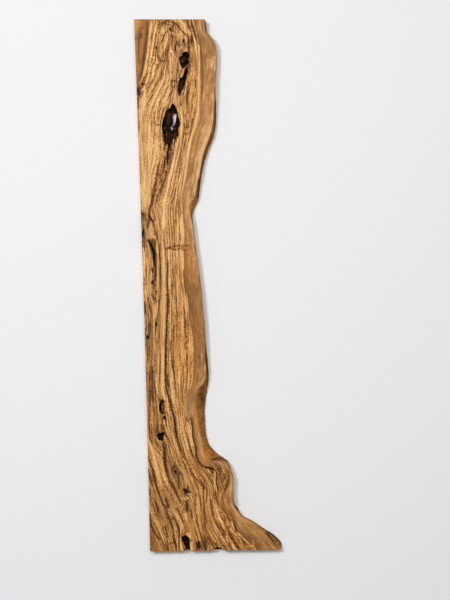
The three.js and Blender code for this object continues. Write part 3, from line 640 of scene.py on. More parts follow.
GREY_SPOTS = (
    (151, 345, 6, 46, 0.4), (169.8, 345, 1.6, 40, 0.45), (175, 471, 5.5, 10, 0.7),
    (186, 491, 5, 6, 0.6), (222, 480, 5, 13, 0.15), (205, 463.6, 6, 3.4, 0.4),
    (172, 547, 4.5, 3.6, 0.5), (202, 545, 5, 6, 0.35), (156, 425, 4, 16, 0.3),
    (145, 228, 4, 12, 0.5), (170, 507, 14, 20, 0.4), (196, 508, 8, 20, 0.2),
    (153, 278, 5, 22, 0.25),
)

# Where the figure is quiet: across and down, half width and half length, and how quiet it is
CALM_SPOTS = (
    (163.6, 330, 2.6, 75, 0.65), (196, 320, 7, 70, 0.5), (153, 456, 4.5, 26, 0.55),
    (161, 464, 3.6, 24, 0.45), (205, 160, 8, 40, 0.5), (208, 70, 7, 50, 0.4),
    (256, 540, 18, 12, 0.5), (200, 430, 6, 32, 0.45), (176, 472, 6, 18, 0.4),
    (185, 516, 6, 18, 0.4), (165, 510, 9, 26, 0.4), (196, 520, 6, 26, 0.35),
    (214, 520, 8, 26, 0.3), (150, 150, 8, 45, 0.25), (181, 345, 7, 40, 0.25),
    (187, 220, 3, 30, 0.4), (231.4, 485, 1.6, 20, 0.4), (190, 505, 70, 50, 0.15),
    (165, 495, 7, 9, 0.55), (176, 507, 8, 12, 0.35), (190, 528, 5, 12, 0.45),
    (175, 470, 6, 14, 0.3), (223, 479, 6, 12, 0.45),
)

# Bark and dark fibres left on the live edge
BARK = (
    (0.9, 0.95, ((206, 21), (206.4, 27), (207.2, 32))),
    (0.9, 0.8, ((215.6, 94), (215.6, 110), (215.2, 124), (213.8, 131))),
    (1.0, 0.85, ((212.6, 133), (209, 142), (206, 150), (204, 158), (202, 167), (200.4, 176),
        (199, 184))),
    (1.2, 0.9, ((198.8, 178), (198.6, 190), (197.4, 199))),
    (0.8, 0.7, ((192, 212), (193.4, 226))),
    (1.1, 1.0, ((205.4, 350), (206.4, 361), (207.6, 370), (208, 378), (207.4, 388))),
    (2.6, 0.55, ((202.6, 384), (202, 396), (201.6, 408))),
    (1.2, 0.7, ((211, 460.6), (216, 458.8), (221, 458.8), (226, 460))),
    (1.1, 0.9, ((234.4, 503), (236, 507), (238, 511))),
    (0.7, 0.8, ((266.6, 531.4), (272, 535.4), (277, 540), (281, 544.4), (284, 548))),
    (0.8, 1, ((265, 532), (270, 538), (274, 543), (277.5, 548))),
)

# Where the wood as a whole is lighter, above nought, or darker: across and down, half width and
# half length, and how much
TONES = (
    (180, 345, 7, 36, 0.03), (196, 330, 4, 30, -0.06), (160, 40, 9, 20, 0.02),
    (195, 172, 4, 22, 0.04), (191, 278, 4, 22, -0.04), (222, 477, 5, 12, -0.03),
    (191, 85, 5, 22, -0.03), (186.5, 220, 3, 18, 0.08), (196, 330, 5, 30, -0.04),
    (160, 465, 8, 14, -0.03), (229, 485, 3, 14, 0.09), (212, 517, 7, 20, -0.03),
    (137, 21, 3, 8, 0.06), (147, 21, 3, 8, 0.05), (139, 21, 3, 8, 0.05), (176, 21, 4, 3, 0.06),
    (194, 26, 4, 12, -0.1), (135.5, 28, 2.5, 16, 0.12), (153, 30, 5, 16, 0.12),
    (185, 34, 3, 7, -0.06), (150, 35, 3, 8, 0.06), (166, 40, 18, 30, 0.02), (181, 44, 6, 7, -0.11),
    (177, 45, 3, 7, -0.06), (180, 51, 3, 7, -0.07), (207, 51, 4, 9, -0.15), (164, 53, 6, 8, -0.08),
    (200, 53, 2.6, 7, -0.17), (193, 59, 3, 6, -0.11), (181, 63, 3, 7, -0.12),
    (181, 67, 3, 7, -0.06), (178, 68, 3, 7, -0.1), (189, 68, 3, 7, -0.15), (208, 70, 9, 45, -0.04),
    (187, 73, 3, 7, -0.05), (173, 77, 3, 5, 0.05), (197, 78, 3, 8, -0.06), (152, 82, 6, 9, 0.15),
    (180, 90, 3, 7, -0.13), (148, 90, 3, 8, 0.05), (162, 94, 6, 10, 0.11), (180, 95, 3, 7, -0.07),
    (191, 106, 3.5, 9, -0.3), (180, 110, 3, 7, -0.07), (199, 121, 2.4, 7, -0.12),
    (193, 124, 3, 6, -0.06), (154, 127, 4, 9, 0.09), (212, 131, 2.6, 8, 0.09),
    (189, 133, 3, 7, -0.05), (211, 135, 2.6, 8, 0.06), (209, 143, 3, 8, 0.22),
    (175, 143, 3, 7, -0.06), (208, 147, 3, 8, 0.24), (206, 150, 10, 50, 0.11),
    (141, 150, 3, 9, 0.07), (171, 153, 3, 9, -0.1), (205, 155, 3, 8, 0.05),
    (150, 160, 12, 60, 0.05), (172, 160, 3, 7, -0.1), (145, 161, 3, 8, 0.06),
    (203, 163, 3, 9, 0.44), (202, 167, 3, 8, 0.06), (201, 170, 3.5, 16, 0.08),
    (163, 171, 3.5, 9, -0.1), (199, 179, 3, 8, 0.2), (194, 183, 3, 8, 0.13),
    (171, 193, 3, 8, 0.05), (157, 199, 3, 8, -0.07), (150, 202, 2.6, 5, 0.05),
    (157, 205, 3, 6, -0.05), (187, 208, 3, 7, 0.08), (163, 215, 6, 26, 0.05),
    (165, 216, 3, 7, -0.05), (154, 217, 3, 8, -0.06), (145, 225, 5, 22, -0.1),
    (142, 229, 2.6, 7, 0.06), (183, 234, 2.4, 9, 0.06), (171, 236, 3, 8, 0.05),
    (155, 238, 2, 5, 0.17), (190, 240, 5, 24, 0.03), (149, 259, 2, 7, 0.05),
    (143.6, 262, 2.4, 16, 0.14), (180, 266, 3, 9, 0.06), (197, 271, 3, 9, 0.15),
    (154, 274, 2.6, 9, -0.08), (188, 287, 3, 8, -0.15), (190, 292, 3, 10, -0.26),
    (154, 294, 2.6, 8, -0.07), (144, 297, 2.4, 8, -0.15), (150, 300, 5, 45, -0.06),
    (144, 302, 2, 9, -0.2), (160, 303, 3, 8, -0.05), (192, 305, 3, 8, -0.07),
    (196, 310, 9, 60, -0.13), (192, 310, 3, 9, -0.1), (145, 313, 2.4, 8, -0.07),
    (147, 313, 3, 8, -0.05), (195, 329, 3, 8, -0.13), (170, 333, 2.6, 18, 0.12),
    (162, 340, 3, 8, 0.05), (178, 350, 8, 60, 0.03), (199, 350, 6, 26, -0.06),
    (151, 357, 3, 8, 0.05), (151, 370, 6, 40, -0.08), (174, 372, 3, 9, -0.11),
    (177, 373, 3, 8, -0.16), (203, 379, 2.6, 8, 0.15), (150, 389, 3, 9, 0.13),
    (178, 396, 3, 8, 0.05), (201, 398, 5, 14, -0.12), (189, 400, 4, 9, -0.55),
    (186, 408, 2.6, 7, -0.06), (186, 412, 3, 7, -0.08), (188, 412, 3, 7, -0.06),
    (154, 413, 3, 8, -0.06), (172, 415, 3, 7, 0.05), (163, 416, 3, 6, -0.05),
    (163, 421, 3, 7, -0.07), (155, 425, 6, 18, -0.08), (200, 425, 6, 26, -0.05),
    (195, 425, 3, 7, 0.07), (203, 430, 4, 18, 0.06), (148, 434, 2.4, 8, 0.11),
    (208, 451, 4, 6, -0.05), (164, 453, 3, 7, -0.07), (166, 457, 3, 7, -0.05),
    (217, 465, 5, 5, -0.1), (227, 469, 3, 6, 0.06), (175, 470, 8, 22, -0.08),
    (208, 477, 4, 6, -0.05), (210, 478, 3, 7, -0.11), (222, 480, 6, 13, -0.02),
    (158, 482, 3, 7, -0.06), (192, 482, 3, 7, 0.05), (204, 486, 3, 6, -0.06),
    (180, 489, 3, 7, -0.06), (230, 489, 3, 7, 0.08), (219, 492, 3, 7, -0.07),
    (166, 495, 6, 7, 0.06), (183, 498, 4, 5, -0.05), (165, 500, 9, 16, -0.06),
    (185, 500, 60, 60, -0.05), (186, 503, 3, 7, -0.07), (200, 507, 3, 8, 0.05),
    (187, 508, 6, 12, -0.07), (223, 511, 3, 8, -0.1), (201, 511, 3, 8, 0.05),
    (190, 513, 3, 8, -0.07), (229, 518, 4, 7, -0.17), (248, 519, 6, 5, 0.16),
    (231, 520, 3, 7, -0.16), (166, 524, 4, 9, 0.06), (213, 525, 4, 8, -0.05),
    (172, 528, 3, 8, 0.05), (200, 535, 9, 16, -0.06), (250, 540, 16, 12, -0.12),
    (155, 540, 8, 20, -0.04), (183, 542, 3, 7, 0.05), (276, 545, 6, 6, 0.15),
    (183, 546, 3, 8, 0.1), (204, 548, 4, 5, -0.06), (262, 548, 6, 5, -0.16),
    (169, 548, 5, 5, -0.11), (198, 23, 3, 6, -0.09), (174, 70, 3, 5, 0.06),
    (187, 148, 3, 6, -0.05), (178, 193, 3, 6, -0.07), (176, 206, 3, 6, -0.05),
    (196, 261, 3, 7, 0.07), (188, 369, 3, 7, 0.05), (186, 332, 3, 7, 0.05),
    (215, 475, 3, 6, -0.07), (218, 487, 3, 6, -0.05), (221, 499, 3, 6, -0.05),
)

# Knots: place, half width and half length, in pixels, how far they bend the grain, and their tone
KNOTS = (
    (165, 54, 4.5, 6, 1.2, -0.08), (170, 30, 4, 5, 2.5, 0), (151.5, 232, 3.6, 9, 4, 0.05),
    (153, 286, 4, 14, 4, -0.05), (175.3, 471.8, 4, 7, 3, -0.08), (186, 491, 4, 6, 4, -0.08),
    (162, 406, 3.6, 7, 3, -0.05), (160, 436, 5, 7, 4, -0.08), (147, 338, 3, 4, 4, -0.1),
    (138, 92, 4, 6, 4, -0.05), (222, 478, 5, 10, 1.2, -0.03), (187, 541, 5, 9, 3, -0.05),
)

# Rows of vertices down the slab's sides: how far below the front face, and how far in the eased
# arrises bring them
SIDE_ROWS = (
    (0, 0.7), (0.25, 0.2), (0.8, 0), (3.2, 0), (6.4, 0), (9.6, 0), (12.8, 0), (16, 0), (19.2, 0),
    (22.4, 0), (25.2, 0), (27.2, 0), (27.75, 0.2), (SLAB_THICKNESS, 0.7),
)
# The opening's rows of vertices, as shares of the way down, how far its walls close in, and how
# far its small bays go in and how long they are
OPENING_ROWS = (0.33, 0.67, 1.0)
OPENING_WAIST = 0.5
OPENING_BAYS = (0.3, 2)

# The live edge: how much it swells out, with more for each millimetre between its arrises
EDGE_SWELL = (0.8, 0.2)
# Its waves along the edge: how far they go in, their noise's number and their length
EDGE_WAVES = ((0.45, 3, 11), (0.25, 4, 4))
# Its bumps: how far they go, their noise's number, their length, and their height down the slab
EDGE_BUMPS = ((0.40, 11, 7, 9), (0.30, 12, 14, 2.6), (0.18, 13, 2.8, 1.6))
# How much the bumps grow for each millimetre between the arrises, the most that counts, and how
# far out the highest bump may stand
BUMP_GROWTH, MOST_BREADTH, HIGHEST_BUMP = 0.10, 14, 1.2
# How far from the foot and the top the waves and bumps have died out
CALM_ENDS = 9
# The live edge's arrises: how much softer they are than the others, how uneven, and how long the
# softer stretches are
ARRIS_SOFTNESS = (1.5, 0.9, 16)

# Walls of the hollows, pits and cracks: how far in they fall away, how uneven the floor is, and how
# far the mouth's small bays go in. A crack's walls fall away within a share of its half width.
HOLLOW_WALLS = (0.9, 0.25, 0.8)
PIT_WALLS = (1.1, 0.1, 0.4)
CRACK_WALLS = (0.55, 0.1, 0.4)
MOUTH_BAYS = 2.3
# A crack's width at its ends, as a share of the greatest
CRACK_ENDS = 0.25

# Spacing of the vertices, in millimetres
LIVE_EDGE_STEP = 2.2
FOOT_STEP = 2.0
TOP_STEP = 3.0
SAWN_STEP = 3.2
MOUTH_STEP = 1.3
OPENING_STEP = 1.4
FRONT_STEPS = (1.2, 3.0)
BACK_STEPS = (2.3, 5.2)
# Rings of vertices in from each mouth
RING_INSETS = (0, 0.5, 1.3)
# The least gaps: between two rings, and from rings, filling and the back's filling to other lines
RING_GAP = 0.42
RING_TO_EDGE, RING_TO_OPENING = 1.1, 0.8
FILL_TO_RING, FILL_TO_EDGE, FILL_TO_OPENING = 0.55, 1.2, 0.9
BACK_TO_EDGE, BACK_TO_OPENING = 1.4, 1.2
MOST_TRIANGLES = 199000
# Edges of the mesh that turn by more than this many degrees stay sharp.
SHARP_ANGLE = 42

# Surfaces that a vertex can belong to
FRONT_FACE, BACK_FACE, SAWN_SIDE, SAWN_END, LIVE_SIDE, HOLLOW_WALL = range(6)

# The heart of the tree: its place across the grain, in pixels, and its depth, in millimetres
HEART_PLACE = 166
HEART_DEPTH = 9.0

# How far the grain lines move across for each millimetre down through the slab
GRAIN_LEAN = 0.45
# How far the plain wood's grain moves across for each pixel down, at the top and at the foot
PLAIN_LEAN = (-0.06, 0.45)
# Burled wood round the upper hollows: across and down, half width and half length, in pixels, and
# how far the grain wanders there
BURL = (168, 46, 15, 26)
BURL_WANDER = 3.2

# Numbers that set the noises apart
ARRIS_NOISE = 17
MOUTH_NOISE = 30
FLOOR_NOISE = 60
LEAN_NOISE = 71
BURL_NOISE = 81
OPENING_NOISE = 91
STREAK_NOISE = 200

# Large numbers that scatter the corners of the noise, and that number the cells of a grid
NOISE_PRIMES = (374761393, 668265263, 1440662683)
SEED_FACTOR = 974634777
MIX_FACTOR = 1274126177
WORD = 0xFFFFFFFF
CELL_KEY = np.array([1, 100003])

# The slab's back face and the floor don't share one plane, in metres.
FLOOR_GAP = 0.0004

# Lamps: across, in metres, where they hang, and their colour
OVERHEAD_LAMP = (3.0, (0.0, 1.3, 5.0), (1.0, 0.926, 0.861))
SIDE_LAMP = (0.7, (-1.5, 1.0, 3.9), (0.835, 0.923, 1.0))
# The light in the opening: its size, in metres, its height above the floor, in millimetres, and
# its colour
GLOW_SIZE = (0.016, 0.044)
GLOW_HEIGHT = 24.0
GLOW_COLOR = (0.78, 0.86, 1.0)

# The camera's lens and sensor, in millimetres, and how far it sees, in metres
LENS = 80
SENSOR_HEIGHT = 36
SIGHT = 100


def noise(seed, *places):
    """Smooth noise from -1 to 1 over one, two or three distances, the same on every run."""
    cells = [np.floor(place).astype(np.int64) for place in places]
    shares = [place - cell for place, cell in zip(places, cells)]
    shares = [share * share * (3 - 2 * share) for share in shares]
    total = 0.0
    for corner in range(2 ** len(places)):
        mixed = np.int64(seed * SEED_FACTOR)
        weight = 1.0
        for axis, (cell, share) in enumerate(zip(cells, shares)):
            side = corner >> axis & 1
            mixed = mixed + (cell + side) * NOISE_PRIMES[axis]
            weight = weight * (share if side else 1 - share)
        mixed = mixed & WORD
        mixed = (mixed ^ mixed >> 13) * MIX_FACTOR & WORD
        mixed = mixed ^ mixed >> 16
        total = total + weight * (mixed / (WORD // 2) - 1)
    return total


def smooth_step(low, high, value):
    """From 0 at low to 1 at high, with soft ends."""
    share = np.clip((value - low) / (high - low), 0, 1)
    return share * share * (3 - 2 * share)


def lengths_of(vectors):
    """How long each vector is."""
    return np.linalg.norm(vectors, axis=1)


def line_lengths(points):
    """The length of each piece of a line."""
    return lengths_of(np.diff(points, axis=0))


def line_travel(points):
    """How far along a line each of its points lies."""
    return np.concatenate([[0], np.cumsum(line_lengths(points))])


def resampled(points, travel, places):
    """The places along a line whose points lie at the given travels."""
    return np.stack([np.interp(places, travel, points[:, axis]) for axis in (0, 1)], 1)


def curve_through(points, shares):
    """Places on a smooth curve through the points, as the solid's live edge is drawn."""
    points = np.array(points, float)
    padded = np.vstack([2 * points[0] - points[1], points, 2 * points[-1] - points[-2]])
    place = np.asarray(shares) * (len(points) - 1)
    first = np.minimum(place.astype(int), len(points) - 2)
    share = (place - first)[:, None]
    p0, p1, p2, p3 = (padded[first + step] for step in range(4))
    pairs = ((p0, p1), (p1, p2), (p2, p3))
    d0, d1, d2 = (np.sqrt(lengths_of(b - a))[:, None] for a, b in pairs)
    start = ((p1 - p0) / d0 - (p2 - p0) / (d0 + d1) + (p2 - p1) / d1) * d1
    end = ((p2 - p1) / d1 - (p3 - p1) / (d1 + d2) + (p3 - p2) / d2) * d1
    square = 3 * (p2 - p1) - 2 * start - end
    cube = 2 * (p1 - p2) + start + end
    return p1 + start * share + square * share ** 2 + cube * share ** 3


def smooth_line(points, spacing):
    """A smooth line through the points, with a point at every spacing."""
    length = line_lengths(np.array(points, float)).sum()
    return curve_through(points, np.linspace(0, 1, max(int(length / spacing), 2) + 1))


def even_shares(length, spacing):
    """Shares of a length from 0 up to but not at 1, as evenly spaced as the spacing allows."""
    count = round(length / spacing)
    return np.arange(count) / count


def closed_line(points, spacing):
    """A closed line resampled at the spacing."""
    loop = np.vstack([points, points[:1]])
    travel = line_travel(loop)
    return resampled(loop, travel, np.arange(0, travel[-1] - spacing / 2, spacing))


def directions(line):
    """The direction along a line at each of its points."""
    along = np.gradient(line, axis=0)
    return along / lengths_of(along)[:, None]


def turned_right(along):
    """Each direction, turned to its right."""
    return np.stack([along[:, 1], -along[:, 0]], 1)


def inward(loop):
    """The direction into an anticlockwise loop at each of its points."""
    along = np.roll(loop, -1, 0) - np.roll(loop, 1, 0)
    return -turned_right(along / np.maximum(lengths_of(along), 1e-9)[:, None])


def anticlockwise(loop):
    """The loop, turned round where it runs clockwise."""
    following = np.roll(loop, -1, 0)
    area = (loop[:, 0] * following[:, 1] - loop[:, 1] * following[:, 0]).sum()
    return loop if area > 0 else loop[::-1]


def inside(points, loop):
    """Which points lie inside a closed loop."""
    order = np.argsort(points[:, 1])
    across, up = points[order].T
    odd = np.zeros(len(points), bool)
    for (x0, y0), (x1, y1) in zip(loop, np.roll(loop, -1, 0)):
        if y0 == y1:
            continue
        first, last = np.searchsorted(up, sorted((y0, y1)))
        crossing = x0 + (up[first:last] - y0) * (x1 - x0) / (y1 - y0)
        odd[first:last] ^= across[first:last] < crossing
    result = np.empty_like(odd)
    result[order] = odd
    return result


def distance_to(points, line, closed=False):
    """How far each point is from a line, and the share of the line up to the nearest place."""
    if closed:
        line = np.vstack([line, line[:1]])
    travel = line_travel(line)
    nearest = np.full(len(points), np.inf)
    share = np.zeros(len(points))
    for start, end, length, before in zip(line, line[1:], line_lengths(line), travel):
        offset = points - start
        step = (end - start) / max(length, 1e-9)
        place = np.clip(offset @ step, 0, length)
        gap = lengths_of(offset - place[:, None] * step)
        closer = gap < nearest
        nearest[closer] = gap[closer]
        share[closer] = (before + place[closer]) / travel[-1]
    return nearest, share


def within(points, line, reach):
    """Indices of the points in the box of a line, widened by the reach."""
    low = line.min(0) - reach
    high = line.max(0) + reach
    return np.nonzero(((points > low) & (points < high)).all(1))[0]


def keep_clear(points, line, reach):
    """The points that are at least the reach away from a closed line."""
    cells = np.floor(closed_line(line, reach / 2) / reach).astype(np.int64)
    around = [cells + (i, j) for i in (-1, 0, 1) for j in (-1, 0, 1)]
    marked = np.unique(np.vstack(around) @ CELL_KEY)
    maybe = np.nonzero(np.isin(np.floor(points / reach).astype(np.int64) @ CELL_KEY, marked))[0]
    gaps, _ = distance_to(points[maybe], line, True)
    keep = np.ones(len(points), bool)
    keep[maybe[gaps < reach]] = False
    return points[keep]


def keep_outside(points, loop, reach):
    """The points outside a loop that are at least the reach away from it."""
    points = keep_clear(points, loop, reach)
    return points[~inside(points, loop)]


def spread_out(points, gap):
    """The points, without those that are closer than the gap to an earlier one."""
    taken = {}
    chosen = []
    for point in points:
        column, row = (int(place) for place in np.floor(point / gap))
        around = [(column + i, row + j) for i in (-1, 0, 1) for j in (-1, 0, 1)]
        if all(math.dist(point, taken[cell]) >= gap for cell in around if cell in taken):
            taken[column, row] = point
            chosen.append(point)
    return np.array(chosen)


# Shape of the slab

def live_edge():
    """The front and back arrises of the live edge, the way out of it, and how much it swells."""
    dense = np.linspace(0, 1, 4001)
    arrises = []
    for column in (1, 2):
        stations = [(station[column], station[0]) for station in LIVE_EDGE]
        stations[0] = (stations[0][0], stations[0][0] * FOOT_RISE / FOOT_WIDTH)
        arrises.append(curve_through(stations, dense))
    travel = line_travel((arrises[0] + arrises[1]) / 2)
    places = np.linspace(0, travel[-1], int(travel[-1] / LIVE_EDGE_STEP) + 1)
    front, back = (resampled(arris, travel, places) for arris in arrises)
    along = directions(front) + directions(back)
    outward = turned_right(along / lengths_of(along)[:, None])
    swell = EDGE_SWELL[0] + EDGE_SWELL[1] * lengths_of(front - back)
    swell[[0, -1]] = 0
    return front, back, outward, swell


def slab_outlines():
    """The slab's outline at each row of its sides, and what each column of the outline is."""
    front, back, outward, swell = live_edge()
    count = len(front)
    up = front[:, 1]
    breadth = lengths_of(front - back)
    ends = smooth_step(0, CALM_ENDS, np.minimum(up - FOOT_RISE, SLAB_LENGTH - up))
    waves = sum(reach * noise(seed, up / length) for reach, seed, length in EDGE_WAVES)
    front = front - outward * (np.abs(waves) * ends)[:, None]
    foot_share = even_shares(FOOT_WIDTH, FOOT_STEP)
    top_share = even_shares(front[-1, 0] - TOP_LEFT_INSET, TOP_STEP)[1:]
    sawn_share = 1 - even_shares(SLAB_LENGTH, SAWN_STEP)
    sawn = np.stack([
        TOP_LEFT_INSET * sawn_share + SAWN_EDGE_BOW * np.sin(np.pi * sawn_share),
        SLAB_LENGTH * sawn_share,
    ], 1)
    live = slice(len(foot_share), len(foot_share) + count)
    softest, uneven, stretch = ARRIS_SOFTNESS
    outlines = []
    for depth, inset in SIDE_ROWS:
        level = depth / SLAB_THICKNESS
        edge = front + (back - front) * level
        bumps = sum(
            reach * noise(seed, up / length, np.full(count, depth / height))
            for reach, seed, length, height in EDGE_BUMPS
        )
        window = np.sin(np.pi * level) ** 0.5 if 0 < level < 1 else 0
        rough = bumps * (1 + BUMP_GROWTH * np.minimum(breadth, MOST_BREADTH)) * window * ends
        out = swell * np.sin(np.pi * level) + np.minimum(rough, HIGHEST_BUMP)
        edge = edge + outward * out[:, None]
        edge[0, 1] = edge[0, 0] * FOOT_RISE / FOOT_WIDTH
        foot = edge[0, 0] * foot_share
        foot = np.stack([foot, foot * FOOT_RISE / FOOT_WIDTH], 1)
        top = np.stack([
            edge[-1, 0] + (TOP_LEFT_INSET - edge[-1, 0]) * top_share,
            np.full(len(top_share), SLAB_LENGTH),
        ], 1)
        outline = np.vstack([foot, edge, top, sawn])
        softness = np.ones(len(outline))
        softness[live] = softest + uneven * noise(ARRIS_NOISE, up / stretch)
        outlines.append(outline + inward(outline) * (inset * softness)[:, None])
    kind = np.full(len(outlines[0]), SAWN_SIDE)
    kind[:live.stop + len(top_share)] = SAWN_END
    kind[live] = LIVE_SIDE
    return outlines, kind


def crack_outline(half_width, line):
    """The mouth of a crack: widest in its middle."""
    shares = np.linspace(0, 1, (len(line) - 1) * 5 + 1)
    middle = curve_through(line, shares)
    aside = turned_right(directions(middle))
    width = CRACK_ENDS + (1 - CRACK_ENDS) * np.sin(np.pi * shares)
    aside = aside * (half_width * width[:, None])
    return np.vstack([middle + aside, (middle - aside)[::-1]])


def pit_outline(across, up, half_width, half_length, lean):
    """The mouth of a small round or oval pit."""
    turn = np.linspace(0, 2 * np.pi, 24, endpoint=False)
    x = half_width * np.cos(turn)
    y = half_length * np.sin(turn)
    angle = math.radians(lean)
    return np.stack([
        across + x * math.cos(angle) - y * math.sin(angle),
        up + x * math.sin(angle) + y * math.cos(angle),
    ], 1)


def ragged(outline, step, reach, seed, length):
    """A closed line along the outline, with small bays of the length that go in by the reach."""
    loop = closed_line(anticlockwise(outline), step)
    return loop + inward(loop) * (reach * noise(seed, *(loop / length).T))[:, None]


def hollow_mouths():
    """Every hollow, pit and crack as its mouth, depth, steepness of its walls and unevenness."""
    cuts = [
        (np.array(outline, float), depth, *HOLLOW_WALLS) for depth, outline in HOLLOWS.values()
    ]
    for *place, depth, lean in SMALL_PITS:
        cuts.append((pit_outline(*place, lean), depth, *PIT_WALLS))
    for depth, half_width, line in CRACKS:
        steepness, unevenness, reach = CRACK_WALLS
        outline = crack_outline(half_width, line)
        cuts.append((outline, depth, half_width * steepness, unevenness, reach))
    mouths = []
    for number, (outline, depth, steepness, unevenness, reach) in enumerate(cuts):
        loop = ragged(outline, MOUTH_STEP, reach, MOUTH_NOISE + number, MOUTH_BAYS)
        mouths.append((loop, depth, steepness, unevenness))
    return mouths


def hollow_depth(points, mouths):
    """How far the front face lies below the sanded level at each point."""
    depths = np.zeros(len(points))
    for number, (loop, depth, steepness, unevenness) in enumerate(mouths):
        near = within(points, loop, 0.5)
        near = near[inside(points[near], loop)]
        gap, _ = distance_to(points[near], loop, True)
        floor = noise(FLOOR_NOISE + number, points[near, 0] / 5, points[near, 1] / 6)
        below = depth * (1 - np.exp(-gap / steepness)) * (1 - unevenness * (0.5 + 0.5 * floor))
        depths[near] = np.maximum(depths[near], below)
    return depths


def lattice(loop, across_step, up_step):
    """Rows of points inside a loop, each row set off from the last by half a step."""
    low = loop.min(0)
    high = loop.max(0)
    ups = np.arange(low[1] + up_step / 2, high[1], up_step)
    acrosses = np.arange(low[0] + across_step / 2, high[0], across_step)
    x, y = np.meshgrid(acrosses, ups)
    x[1::2] += across_step / 2
    points = np.stack([x.ravel(), y.ravel()], 1)
    return points[inside(points, loop)]


def front_points(edge, opening, mouths, across_step, up_step):
    """Points over the front face: in rings at the hollows' mouths, and in rows between them."""
    rings = [loop + inward(loop) * inset for loop, *_ in mouths for inset in RING_INSETS]
    fill = lattice(edge, across_step, up_step)
    finer = lattice(edge, across_step, up_step / 2)
    fill = np.vstack([
        fill[hollow_depth(fill, mouths) == 0], finer[hollow_depth(finer, mouths) > 0],
    ])
    for ring in rings:
        fill = keep_clear(fill, ring, FILL_TO_RING)
    fill = keep_outside(keep_clear(fill, edge, FILL_TO_EDGE), opening, FILL_TO_OPENING)
    rings = [keep_clear(ring[inside(ring, edge)], edge, RING_TO_EDGE) for ring in rings]
    rings = [keep_outside(ring, opening, RING_TO_OPENING) for ring in rings]
    return np.vstack([spread_out(np.vstack(rings), RING_GAP), fill])


def skin(points, loops):
    """Triangles over the points, anticlockwise, inside the first loop and outside the others.

    The loops are the index ranges of the points that make them up."""
    edges = []
    for loop in loops:
        edges += [(int(a), int(b)) for a, b in zip(loop, np.roll(loop, -1))]
    result = delaunay_2d_cdt([Vector(point) for point in points], edges, [], 0, 1e-7)
    if len(result[0]) != len(points):
        raise RuntimeError("Two points of the slab's faces coincide")
    triangles = np.array([face for face in result[2] if len(face) == 3])
    a, b, c = (points[triangles[:, corner]] for corner in range(3))
    area = (b[:, 0] - a[:, 0]) * (c[:, 1] - a[:, 1]) - (b[:, 1] - a[:, 1]) * (c[:, 0] - a[:, 0])
    triangles[area < 0] = triangles[area < 0][:, ::-1]
    middles = (a + b + c) / 3
    keep = inside(middles, points[loops[0]])
    for loop in loops[1:]:
        keep &= ~inside(middles, points[loop])
    return triangles[keep & (np.abs(area) > 1e-9)]


def strip(upper, lower):
    """Triangles between two closed rows of as many vertices, facing out of the rows."""
    upper_next = np.roll(upper, -1)
    lower_next = np.roll(lower, -1)
    return np.vstack([
        np.stack([upper, lower, lower_next], 1),
        np.stack([upper, lower_next, upper_next], 1),
    ])


class Shell:
    """A mesh in the making: vertices, the surface that each belongs to, and triangles."""

    def __init__(self):
        self.vertices = []
        self.surface = []
        self.triangles = []

    def add(self, points, heights, surface):
        """Adds vertices, and returns their numbers."""
        count = len(points)
        before = sum(len(part) for part in self.vertices)
        self.vertices.append(np.column_stack([points, np.broadcast_to(heights, count)]))
        self.surface.append(np.broadcast_to(surface, count))
        return before + np.arange(count)

    def add_wall(self, upper, rows, turn):
        """Adds closed rows under the upper one, with triangles between, and returns the last."""
        for points, heights, surface in rows:
            lower = self.add(points, heights, surface)
            self.triangles.append(strip(upper, lower)[:, ::turn])
            upper = lower
        return upper


def slab_mesh(across_step, up_step):
    """The vertices, the triangles, the surface of each vertex, and the mouths of the hollows."""
    mouths = hollow_mouths()
    outlines, kind = slab_outlines()
    reach, length = OPENING_BAYS
    outline = np.array(THROUGH_OPENING, float)
    opening = ragged(outline, OPENING_STEP, reach, OPENING_NOISE, length)
    edge = np.arange(len(kind))
    hole = len(kind) + np.arange(len(opening))

    shell = Shell()
    filling = front_points(outlines[0], opening, mouths, across_step, up_step)
    front = np.vstack([outlines[0], opening, filling])
    heights = SLAB_THICKNESS - hollow_depth(front, mouths)
    shell.add(front, heights, FRONT_FACE)
    shell.triangles.append(skin(front, [edge, hole]))
    sides = [
        (outline, heights[edge] * (1 - depth / SLAB_THICKNESS), kind)
        for (depth, _), outline in zip(SIDE_ROWS[1:], outlines[1:])
    ]
    back_edge = shell.add_wall(edge, sides, 1)
    walls = [
        (
            opening + inward(opening) * (OPENING_WAIST * math.sin(math.pi * share)),
            heights[hole] * (1 - share), HOLLOW_WALL,
        )
        for share in OPENING_ROWS
    ]
    back_hole = shell.add_wall(hole, walls, -1)

    filling = keep_clear(lattice(outlines[-1], *BACK_STEPS), outlines[-1], BACK_TO_EDGE)
    back_fill = shell.add(keep_outside(filling, opening, BACK_TO_OPENING), 0, BACK_FACE)
    vertices = np.vstack(shell.vertices)
    back = np.concatenate([back_edge, back_hole, back_fill])
    shell.triangles.append(back[skin(vertices[back, :2], [edge, hole])][:, ::-1])
    return vertices, np.vstack(shell.triangles), np.concatenate(shell.surface), mouths


# Figure of the wood

def line_places(lines, ups):
    """Where each smoothed line is across the photograph at each height down it."""
    heights = np.arange(-40.0, PHOTO_SIZE[1] + 40)
    kernel = np.hanning(7)[1:-1]
    kernel /= kernel.sum()
    places = []
    for line in lines:
        points = np.array(line, float)
        across = np.interp(heights, points[:, 1], points[:, 0])
        across = np.convolve(np.pad(across, 2, mode="edge"), kernel, "valid")
        places.append(np.interp(ups, heights, across))
    return np.array(places)


